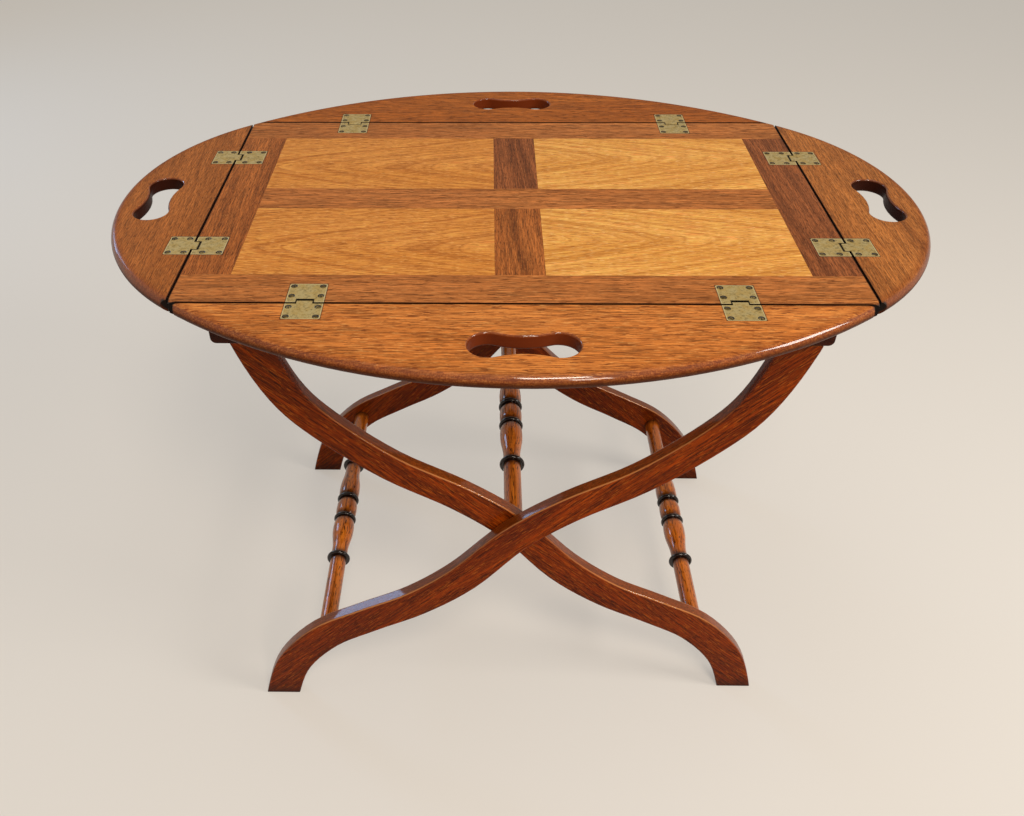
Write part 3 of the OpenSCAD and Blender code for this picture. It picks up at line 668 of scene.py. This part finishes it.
# %% Legs
LEG_ROUND = 2.2 * MM
LEG_TOP = 598 * MM
PIVOT = Vector((0, 0, 313.5 * MM))
JOINT_CLEAR = 12 * MM
STAND_SHADES = ("#943a02", "#4c1800", "#702602", "#140400", "#c66a20")
SLOPES = {"outer": (0.72, 0, 0.69), "inner": (-0.72, 0, 0.69)}
FACING_FRONT = (0, -1, 0)
LEG_WOOD = {"marks": (17 * MM, 1.1 * MM), "pore": 0.66, "fleck": 0.55, "streak": 0.85}
LEG_POLISH = {"upper_gloss": 0.7, "coat_rough": 0.07}


def leg_arris(stretcher):
    low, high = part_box(stretcher)
    socket = (low + high) / 2

    def is_arris(a, b):
        in_face = abs(a.y - b.y) < 0.1 * MM
        middle = (a + b) / 2
        clear = all(math.hypot(middle.x - p.x, middle.z - p.z) > JOINT_CLEAR for p in (PIVOT, socket))
        return in_face and clear and max(a.z, b.z) < LEG_TOP - 0.5 * MM

    return is_arris


legs = ("outer_leg_front", "outer_leg_back", "inner_leg_front", "inner_leg_back")
for i, name in enumerate(legs):
    side = name.split("_")[0]
    title = "stained mahogany " + name
    place = (0.4 + i, 0.2 + 0.4 * i, 0.1 + 0.2 * i)
    wood = polished_mahogany(
        title, STAND_SHADES, SLOPES[side], FACING_FRONT, place, **LEG_WOOD, **LEG_POLISH
    )
    rounded_copy(name, LEG_ROUND, leg_arris(side + "_stretcher"), wood)
print("legs:", len(legs))

# %% [markdown]
# The two top rails are straight bars that the tray rests on. Their near-black colour is painted shade of the
# tray above them. Their long upper edges and ends are rounded too, by 1.5 mm.

# %% Top rails
RAIL_ROUND = 1.5 * MM
STAND_TOP = 624 * MM
RAIL_END = 236 * MM
RAIL_POLISH = {"upper_gloss": 0.5, "coat_rough": 0.12}
# Near-black shades: painted shade of the tray above the rails.
TOP_RAIL_SHADED_TONES = ("#481a08", "#2c0e04", "#3a1406", "#140502", "#58260e")


def rail_arris(a, b):
    on_top = min(a.z, b.z) > STAND_TOP - 0.1 * MM and abs(a.y - b.y) > 30 * MM
    on_end = min(abs(a.y), abs(b.y)) > RAIL_END - 0.1 * MM
    return on_top or on_end


for i, name in enumerate(("outer_top_rail", "inner_top_rail")):
    place = (5 + i, 0.4 * i, 0.3)
    title = "stained mahogany " + name
    wood = polished_mahogany(title, TOP_RAIL_SHADED_TONES, ALONG_Y, UP, place, **RAIL_POLISH)
    rounded_copy(name, RAIL_ROUND, rail_arris, wood)
print("top rails end at", RAIL_END)

# %% [markdown]
# ## Turned stretchers
#
# Each stretcher was turned on a lathe, and the rings were blackened: a turner holds a wire or a chip of hard
# wood against the spinning ring until it scorches. The scorch and the dark polish spread into the hollows
# beside the rings, and the hollows also get painted shade, so the colour depends on the distance from a ring.
# Both halves of a stretcher are alike, and the turning of the centre one sits 5 mm off its middle.

# %% Distance from the nearest ring
RING_PLACES = (20.5 * MM, 97.4 * MM)
RING_HALF = 2.9 * MM


def ring_distance(tree, shift):
    """How far a place is from the middle of the turning, and from the nearest ring."""
    where = add(tree, "TexCoord").outputs["Object"]
    along = add(tree, "SeparateXYZ", links={0: where})
    centred = add(tree, "Math", {"operation": "ADD", 1: shift}, {0: along.outputs[1]})
    mirrored = add(tree, "Math", "ABSOLUTE", {0: centred})
    from_rings = []
    for ring in RING_PLACES:
        beside = add(tree, "Math", {"operation": "SUBTRACT", 1: ring}, {0: mirrored})
        from_rings.append(add(tree, "Math", "ABSOLUTE", {0: beside}))
    nearest = add(tree, "Math", "MINIMUM", {0: from_rings[0], 1: from_rings[1]})
    return mirrored, nearest


print("rings at", RING_PLACES, "on both sides of the middle")

# %% [markdown]
# The rest of the turning is a golden brown with dark pores, under a thick glossy polish that gives each bead
# its own small light. The hollows darken up to 15 mm from a ring, with scorch and painted shade, and the ends
# get painted shade over the last 12 mm, where they go into the legs.

# %% Turned mahogany with blackened rings and painted shade
# Two tones of light wood, then dark bands, pores, hollows of scorch and painted shade, shaded ends and scorch.
TURNED_SHADES = ("#e27e26", "#c0621a", "#7c380e", "#1a0701", "#260c03", "#200a03", "#120502")
THICK_COAT = {"Coat Weight": 0.8, "Coat Roughness": 0.05, "Coat IOR": 1.5}


def turned_mahogany(name, place, shift, half_length):
    material, tree = new_material(name)
    early, drift, *shades = (colour(code) for code in TURNED_SHADES)
    grain = grain_frame(tree, ALONG_Y, UP, place)
    mirrored, nearest = ring_distance(tree, shift)
    broad = stretched(tree, grain, 160 * MM, 9 * MM, 2.0)
    broad_part = add(tree, "MapRange", {"From Min": 0.36, "From Max": 0.64}, {0: broad})
    body = add(tree, "Mix", {"data_type": "RGBA", 6: early, 7: drift}, {0: broad_part}).outputs[2]
    bands = stretched(tree, grain, 70 * MM, 3.5 * MM, 3.0, 0.6)
    band_part = add(tree, "MapRange", {"From Min": 0.45, "From Max": 0.7}, {0: bands})
    dashes = stretched(tree, grain, 9 * MM, 1.3 * MM, 1.0)
    pore_part = add(tree, "MapRange", {"From Min": 0.58, "From Max": 0.68, "To Max": 0.85}, {0: dashes})

    # The hollows beside the rings: scorch and painted shade.
    hollow = {"From Min": RING_HALF, "From Max": 15 * MM, "To Min": 0.92, "To Max": 0}
    hollow_scorch_and_shade = add(tree, "MapRange", {"interpolation_type": "SMOOTHSTEP", **hollow}, {0: nearest})
    # The ends, where a stretcher goes into a leg: painted shade.
    corner = {"From Min": half_length - 12 * MM, "From Max": half_length - 1 * MM, "To Max": 0.85}
    shaded_end_part = add(tree, "MapRange", corner, {0: mirrored})
    scorch = {"From Min": RING_HALF + 0.3 * MM, "From Max": RING_HALF + 1.6 * MM, "To Min": 0.96, "To Max": 0}
    scorch_part = add(tree, "MapRange", scorch, {0: nearest})
    masks = (band_part, pore_part, hollow_scorch_and_shade, shaded_end_part, scorch_part)
    for mask, shade in zip(masks, shades):
        body = add(tree, "Mix", {"data_type": "RGBA", 7: shade}, {0: mask, 6: body}).outputs[2]

    gloss = add(tree, "MapRange", {"To Min": 0.3, "To Max": 0.42}, {0: pore_part})
    ripples = stretched(tree, grain, 30 * MM, 5 * MM, 1.0)
    uneven = add(tree, "Bump", {"Strength": 0.25, "Distance": 0.3 * MM}, {"Height": ripples})
    links = {"Base Color": body, "Roughness": gloss, "Normal": uneven}
    shader = add(tree, "BsdfPrincipled", {"IOR": 1.5, "Specular IOR Level": 0.12, **THICK_COAT}, links)
    add(tree, "OutputMaterial", links={"Surface": shader})
    return material


stretchers = {
    "outer_stretcher": (0.0, 220 * MM),
    "inner_stretcher": (0.0, 203 * MM),
    "centre_stretcher": (5 * MM, 203 * MM),
}
for i, (name, (shift, half_length)) in enumerate(stretchers.items()):
    wood = turned_mahogany("turned mahogany " + name, (3 + i, 0.6 * i, 0.4), shift, half_length)
    nodes[name].data.materials[0] = wood
print("stretchers:", len(stretchers))

# %% [markdown]
# ## Brass
#
# The hinges are cast brass, filed flush with the wood. Handled brass goes a pale olive gold, in clouds of
# 8 mm with specks of 3 mm where the oxide is thicker, and mirrors the room softly. A metal keeps the default
# IOR, its colour does the work. The edges of a plate are rubbed bright. Its steep sides and knuckle get
# painted shade, and the notch for a tongue holds dirt.

# %% Aged brass
CLOUD = 7.69 * MM
SPECK = 2.94 * MM
PLATE_BRASS = ("#e2ce92", "#c8ae6e", "#6c5c30")
BRIGHT_EDGE = "#fff0bc"
# Painted shade on a plate's steep sides and knuckle, and dirt in the notch.
SIDE_SHADE_AND_NOTCH_DIRT = "#1c150c"


def aged_brass(name, plate_box=None, tongue_box=None, shades=PLATE_BRASS, rough=(0.36, 0.56)):
    material, tree = new_material(name)
    light, dull, dark = (colour(code) for code in shades)
    where = add(tree, "TexCoord").outputs["Object"]
    clouds = add(tree, "TexNoise", {"Scale": 1 / CLOUD, "Detail": 4.0, "Roughness": 0.65}, {"Vector": where})
    cloud_part = add(tree, "MapRange", {"From Min": 0.4, "From Max": 0.6}, {0: clouds})
    body = add(tree, "Mix", {"data_type": "RGBA", 6: light, 7: dull}, {0: cloud_part}).outputs[2]
    specks = add(tree, "TexNoise", {"Scale": 1 / SPECK, "Detail": 3.0, "Roughness": 0.65}, {"Vector": where})
    speck_part = add(tree, "MapRange", {"From Min": 0.5, "From Max": 0.7, "To Max": 0.6}, {0: specks})
    layers = [(speck_part, dark)]
    if plate_box:
        settings = {"From Min": -1.3 * MM, "From Max": -0.4 * MM, "To Max": 0.6}
        rubbed = add(tree, "MapRange", settings, {0: box_distance(tree, where, *plate_box)})
        layers.append((rubbed, colour(BRIGHT_EDGE)))
        # Steep sides and the knuckle get painted shade.
        layers.append((steepness(tree, add(tree, "TexCoord").outputs["Normal"]), colour(SIDE_SHADE_AND_NOTCH_DIRT)))
    if tongue_box:
        mirrored = add(tree, "VectorMath", "ABSOLUTE", {0: where})
        settings = {"From Min": 0.9 * MM, "From Max": 1.5 * MM, "To Min": 0.97, "To Max": 0}
        notch = add(tree, "MapRange", settings, {0: box_distance(tree, mirrored, *tongue_box)})
        layers.append((notch, colour(SIDE_SHADE_AND_NOTCH_DIRT)))
    for mask, shade in layers:
        body = add(tree, "Mix", {"data_type": "RGBA", 7: shade}, {0: mask, 6: body}).outputs[2]
    gloss = add(tree, "MapRange", {"To Min": rough[0], "To Max": rough[1]}, {0: cloud_part})
    shader = add(tree, "BsdfPrincipled", {"Metallic": 1.0}, {"Base Color": body, "Roughness": gloss})
    add(tree, "OutputMaterial", links={"Surface": shader})
    return material


print("brass in", len(PLATE_BRASS), "shades")

# %% [markdown]
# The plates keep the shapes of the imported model. Each gets brass of its own, because the bright line follows
# the box of that plate. A board plate is notched for the tongue of its leaf plate, with dirt in the notch.

# %% Hinge plates, pins and washers
LONG_NOTCH = ((205.75 * MM, 218.75 * MM, 0), (221.85 * MM, 225 * MM, 0))
END_NOTCH = ((344.75 * MM, 104.15 * MM, 0), (351 * MM, 120.25 * MM, 0))
hinge_brass = aged_brass("aged brass of the pins and washers")
for name, node in nodes.items():
    if name.startswith("board_plate"):
        notch = LONG_NOTCH if name.split("_")[2] in ("front", "back") else END_NOTCH
        node.data.materials[0] = aged_brass("aged brass " + name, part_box(name), notch)
    elif name.startswith("leaf_plate"):
        node.data.materials[0] = aged_brass("aged brass " + name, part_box(name))
    elif "pin" in name or "washers" in name:
        node.data.materials[0] = hinge_brass
print("brass plates:", sum("plate" in name for name in nodes))

# %% [markdown]
# The screws are slotted and sit a little below the plate in a ring of dark wax. The heads are built here, in
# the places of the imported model's screws. All the screws of a leaf are one mesh there, so a walk from point
# to point along its edges finds each screw.

# %% Places of the screws
def screw_centres(node):
    shape = welded_shape(node)
    centres = []
    waiting = set(shape.verts)
    while waiting:
        screw = [waiting.pop()]
        for vert in screw:
            near = {edge.other_vert(vert) for edge in vert.link_edges} & waiting
            waiting -= near
            screw.extend(near)
        xs = [vert.co.x for vert in screw]
        ys = [vert.co.y for vert in screw]
        centres.append(((min(xs) + max(xs)) / 2, (min(ys) + max(ys)) / 2))
    shape.free()
    return sorted(centres)


screws = {name: screw_centres(name) for name in nodes if name.endswith("_screws")}
print("screws:", {name: len(centres) for name, centres in screws.items()})

# %% [markdown]
# A head is two halves beside an open slot. A half is a profile swept round half a turn and cut off straight
# along the slot. The ring of wax and the shank are profiles turned all the way round. A profile is a list of
# radii and depths under the top of the tray.

# %% Shapes of a slotted screw
HEAD_RADIUS = 2.35 * MM
SLOT_HALF = 0.45 * MM
HEAD = ((1.2 * MM, 0.36 * MM), (2.0 * MM, 0.4 * MM), (HEAD_RADIUS, 0.55 * MM), (HEAD_RADIUS, 1.2 * MM))
WAX_RING = (
    (3.38 * MM, 0.02 * MM),
    (HEAD_RADIUS + 0.05 * MM, 0.63 * MM),
    (HEAD_RADIUS - 0.6 * MM, 1.2 * MM),
    (0.3 * MM, 1.25 * MM),
)
SHANK = ((1.5 * MM, 1.9 * MM), (1.5 * MM, 9 * MM), (0.1 * MM, 11 * MM))
AROUND = 24
HALF_AROUND = 12


def new_row(shape, centre, points, depth):
    return [shape.verts.new((centre[0] + x, centre[1] + y, TRAY_TOP - depth)) for x, y in points]


def turned_profile(shape, centre, profile, material_index):
    angles = [2 * math.pi * k / AROUND for k in range(AROUND)]
    rows = []
    for radius, depth in profile:
        points = [(radius * math.cos(angle), radius * math.sin(angle)) for angle in angles]
        rows.append(new_row(shape, centre, points, depth))
    for upper, lower in zip(rows, rows[1:]):
        for k in range(AROUND):
            corners = (upper[k], upper[k - 1], lower[k - 1], lower[k])
            shape.faces.new(corners).material_index = material_index


def half_head(shape, centre, turned):
    start = math.asin(SLOT_HALF / HEAD_RADIUS)
    angles = [start + (math.pi - 2 * start) * k / HALF_AROUND for k in range(HALF_AROUND + 1)]
    rows = []
    for radius, depth in HEAD:
        points = [Vector((radius * math.cos(a), max(radius * math.sin(a), SLOT_HALF))) for a in angles]
        rows.append(new_row(shape, centre, [Matrix.Rotation(turned, 2) @ p for p in points], depth))
    shape.faces.new(rows[0])
    for upper, lower in zip(rows, rows[1:]):
        for k in range(HALF_AROUND):
            shape.faces.new((upper[k], lower[k], lower[k + 1], upper[k + 1]))
    shape.faces.new([row[0] for row in rows] + [row[-1] for row in reversed(rows)])


print("heads of", 2 * HEAD_RADIUS, "with a slot of", 2 * SLOT_HALF)

# %% [markdown]
# The heads are the same brass, darker and rougher than the plates. The wax round them is nearly black, half
# matt and crumbly: crumbs of 0.1 mm, drawn as 1.1 mm. Every screw stopped at another angle when it was driven
# home, so each slot is turned by another 67 degrees.

# %% Slotted screws in dark wax
CRUMB = 1.11 * MM
SCREW_BRASS = ("#ae9a66", "#6a5c38", "#241b0c")
head_brass = aged_brass("tarnished brass of the screw heads", shades=SCREW_BRASS, rough=(0.45, 0.62))
wax, tree = new_material("dark wax round the screws")
where = add(tree, "TexCoord").outputs["Object"]
crumbs = add(tree, "TexNoise", {"Scale": 1 / CRUMB, "Detail": 2.0}, {"Vector": where})
tone = add(tree, "Mix", {"data_type": "RGBA", 6: colour("#0c0805"), 7: colour("#20170d")}, {0: crumbs})
shader = add(tree, "BsdfPrincipled", {"Roughness": 0.5}, {"Base Color": tone.outputs[2]})
add(tree, "OutputMaterial", links={"Surface": shader})

for node, centres in screws.items():
    shape = bmesh.new()
    for i, centre in enumerate(centres):
        turned = math.radians(35 + 67 * i)
        half_head(shape, centre, turned)
        half_head(shape, centre, turned + math.pi)
        turned_profile(shape, centre, WAX_RING, 1)
        turned_profile(shape, centre, SHANK, 0)
    bmesh.ops.recalc_face_normals(shape, faces=shape.faces)
    piece = new_piece("slotted_" + node, shape)
    piece.data.materials.append(head_brass)
    piece.data.materials.append(wax)
    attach(piece, nodes[node]["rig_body"])
    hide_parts(node)
    print(piece.name, "screws:", len(centres))

# %% [markdown]
# ## Webbing
#
# Two straps of undyed cotton webbing join the top rails and stop the stand from opening further. A strap is
# 45 mm wide, 610 mm long and about 1.5 mm thick, with thicker selvedges. It could be simulated as cloth, but
# it is held taut at both ends, so a section drawn along it is truer. It waves and narrows a little with age.

# %% A strap
STRAP_HALF = 305 * MM
STRAP_WIDTH = 45 * MM
STRAP_MIDDLE = 621.8 * MM
STRAP_THICK = 1.5 * MM
STRAP_STEPS = 122
RAIL_INNER = 263 * MM
WAVE_HEIGHT = 0.25 * MM
NARROWER = 0.012
UPPER_SECTION = ((-0.5, 0.3), (-0.47, 0.5), (-0.3, 0.46), (0.0, 0.46), (0.3, 0.46), (0.47, 0.5), (0.5, 0.3))
SECTION = [*UPPER_SECTION, *((across, -up) for across, up in reversed(UPPER_SECTION))]


def strap_shape(y):
    shape = bmesh.new()
    rows = []
    for k in range(STRAP_STEPS + 1):
        x = -STRAP_HALF + 2 * STRAP_HALF * k / STRAP_STEPS
        free = max(0.0, 1 - (x / RAIL_INNER) ** 2)
        wave = WAVE_HEIGHT * math.sin(x * 41 + y * 30) * min(1, 3 * free)
        width = STRAP_WIDTH * (1 - NARROWER * free * (1 + math.sin(x * 23)))
        row = []
        for across, up in SECTION:
            z = STRAP_MIDDLE + wave * (across + 0.5) + up * STRAP_THICK
            row.append(shape.verts.new((x, y + across * width, z)))
        rows.append(row)
    for left, right in zip(rows, rows[1:]):
        for k in range(len(SECTION)):
            shape.faces.new((left[k], left[k - 1], right[k - 1], right[k]))
    shape.faces.new(rows[0])
    shape.faces.new(rows[-1][::-1])
    bmesh.ops.recalc_face_normals(shape, faces=shape.faces)
    return shape


print("a strap has", STRAP_STEPS, "steps of", len(SECTION), "points")

# %% [markdown]
# Each strap is built as a piece of its own, in the frame of the model, and the imported strap is hidden.

# %% Both straps
def strap(name, node, y):
    piece = new_piece(name, strap_shape(y), 50)
    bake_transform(piece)
    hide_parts(node)
    return piece


straps = [strap("strap_front", "web_front", -110 * MM), strap("strap_back", "web_back", 110 * MM)]
print("straps:", [piece.name for piece in straps])

# %% [markdown]
# Cotton webbing is a plain weave with thick weft ribs across it, about 2 mm apart, and warp threads 1.2 mm
# apart. Two waves that cross give this checker of over and under, sharp at any distance, and the under threads
# are painted darker as shade between the raised ones. A wave texture of scale 1 repeats every 2 pi / 20
# metres, so that over the thread spacing is the scale. Cotton is matt, a little fuzzy and soiled with age in
# patches of 36 mm.

# %% Cotton webbing
WAVE_LENGTH = 2 * math.pi / 20
WARP_SPACING = 1.2 * MM
WEFT_SPACING = 2.0 * MM
SOILED_PATCH = 35.7 * MM

webbing, tree = new_material("undyed cotton webbing")
where = add(tree, "TexCoord").outputs["Object"]
threads = []
for direction, spacing in (("Y", WARP_SPACING), ("X", WEFT_SPACING)):
    settings = {"Scale": WAVE_LENGTH / spacing, "Distortion": 0.6, "Detail": 1.0}
    wave = add(tree, "TexWave", {"bands_direction": direction, **settings}, {"Vector": where})
    threads.append(wave.outputs["Fac"])
weave_relief = add(tree, "Math", "MULTIPLY", {0: threads[0], 1: threads[1]})
# The under threads are painted darker: painted shade between the raised threads.
settings = {"data_type": "RGBA", 6: colour("#7d6c4a"), 7: colour("#c9b98f")}
tone = add(tree, "Mix", settings, {0: weave_relief}).outputs[2]
age = add(tree, "TexNoise", {"Scale": 1 / SOILED_PATCH, "Detail": 4.0}, {"Vector": where})
age_part = add(tree, "MapRange", {"From Min": 0.45, "From Max": 0.75, "To Max": 0.5}, {0: age})
tone = add(tree, "Mix", {"data_type": "RGBA", 7: colour("#8a7550")}, {0: age_part, 6: tone}).outputs[2]
ribs = add(tree, "Bump", {"Strength": 0.8, "Distance": 0.35 * MM}, {"Height": weave_relief})
cotton = {"Roughness": 0.9, "Sheen Weight": 0.2, "Sheen Roughness": 0.5, "Specular IOR Level": 0.3}
shader = add(tree, "BsdfPrincipled", cotton, {"Base Color": tone, "Normal": ribs})
add(tree, "OutputMaterial", links={"Surface": shader})
for piece in straps:
    piece.data.materials.append(webbing)
print("threads to the metre:", round(1 / WARP_SPACING), round(1 / WEFT_SPACING))

# %% [markdown]
# Small steel tacks hold the ends of the straps. They were blued by heat, which leaves a dark grey metal with
# a dull shine, and they rust in rough brown specks of 3 mm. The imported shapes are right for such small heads,
# so they only get this finish.

# %% Blued steel tacks
RUST = 2.86 * MM

tack_steel, tree = new_material("blued steel tacks")
where = add(tree, "TexCoord").outputs["Object"]
rust = add(tree, "TexNoise", {"Scale": 1 / RUST, "Detail": 3.0}, {"Vector": where})
rust_part = add(tree, "MapRange", {"From Min": 0.5, "From Max": 0.7}, {0: rust})
tone = add(tree, "Mix", {"data_type": "RGBA", 6: colour("#4a4c52"), 7: colour("#4e3426")}, {0: rust_part})
gloss = add(tree, "MapRange", {"To Min": 0.35, "To Max": 0.7}, {0: rust_part})
shader = add(tree, "BsdfPrincipled", {"Metallic": 1.0}, {"Base Color": tone.outputs[2], "Roughness": gloss})
add(tree, "OutputMaterial", links={"Surface": shader})
tacks = ("outer_web_tacks", "inner_web_tacks")
for name in tacks:
    nodes[name].data.materials[0] = tack_steel
print("tacks blued:", tacks)

# %% [markdown]
# ## Floor and light
#
# A plain pale floor keeps the shadow. The camera and mirroring surfaces see it and the world in one even pale
# tone, so no horizon shows. For the light that bounces both are darker, or the floor would fill in the
# undersides. A light path node tells these rays apart.

# %% Floor and world
FLOOR_SIZE = 30
FLOOR_SHADE = "#e8e1d7"
FLOOR_LIFT = 0.45


def is_seen(tree):
    """1 for a ray from the camera, a mirror or glass, 0 for light that bounces."""
    path = add(tree, "LightPath")
    seen = path.outputs["Is Camera Ray"]
    for ray in ("Is Glossy Ray", "Is Transmission Ray"):
        seen = add(tree, "Math", "ADD", {0: seen, 1: path.outputs[ray]})
    return seen


bpy.ops.mesh.primitive_plane_add(size=FLOOR_SIZE)
floor = bpy.context.object
floor.name = "floor"
material, tree = new_material("pale studio floor")
bounce = add(tree, "BsdfDiffuse", {"Color": colour("#a89a8a")})
matt = add(tree, "BsdfDiffuse", {"Color": colour(FLOOR_SHADE)})
glow = add(tree, "Emission", {"Color": colour(FLOOR_SHADE), "Strength": 1.0})
lifted = add(tree, "MixShader", {0: FLOOR_LIFT}, {1: matt, 2: glow})
shader = add(tree, "MixShader", links={0: is_seen(tree), 1: bounce, 2: lifted})
add(tree, "OutputMaterial", links={"Surface": shader})
floor.data.materials.append(material)

world = bpy.data.worlds.new("studio")
bpy.context.scene.world = world
world.use_nodes = True
tree = world.node_tree
tree.nodes.clear()
lit = add(tree, "Background", {"Color": colour("#f4efe8"), "Strength": 0.28})
behind = add(tree, "Background", {"Color": colour("#b9b1a7"), "Strength": 1.0})
shader = add(tree, "MixShader", links={0: is_seen(tree), 1: lit, 2: behind})
add(tree, "OutputWorld", links={"Surface": shader})
print("floor:", FLOOR_SIZE, "m wide, world:", world.name)

# %% [markdown]
# Polished wood mirrors the light it faces, so the lamps stand where the flat tray doesn't show them to the
# camera, and only round edges do, as thin highlights. A broad softbox hangs overhead. The key light stands
# high in front, a lower one reaches the legs, and one at the right draws the highlight on the rim. A cool one
# at the back left shows on the upper faces of the legs and the left rim.

# %% Softboxes
softboxes = {
    "ceiling softbox": ((0.0, 0.2, 3.2), (0, 0, 0), (2.4, 2.0), 16, "#fff8f0"),
    "key softbox": ((0.4, -1.9, 2.9), (0, 0, 0.5), (0.7, 0.7), 34, "#fff2e2"),
    "front softbox": ((0.9, -2.9, 1.9), (0, 0, 0.3), (0.5, 0.9), 22, "#fff0e0"),
    "right softbox": ((2.35, -0.8, 1.9), (0, 0, 0.6), (0.8, 0.8), 32, "#fffaf4"),
    "cool softbox": ((-2.3, 1.7, 1.5), (0, 0, 0.3), (0.6, 0.9), 12, "#a2ceff"),
}
for name, (place, aim, size, watts, tint) in softboxes.items():
    light = bpy.data.lights.new(name, "AREA")
    light.shape = "RECTANGLE"
    light.size, light.size_y = size
    light.energy = watts
    light.color = colour(tint)[:3]
    lamp = bpy.data.objects.new(name, light)
    bpy.context.scene.collection.objects.link(lamp)
    lamp.location = place
    lamp.rotation_euler = (Vector(aim) - Vector(place)).to_track_quat("-Z", "Y").to_euler()
    print(name, watts, "W")
bpy.context.scene.view_settings.view_transform = "Standard"
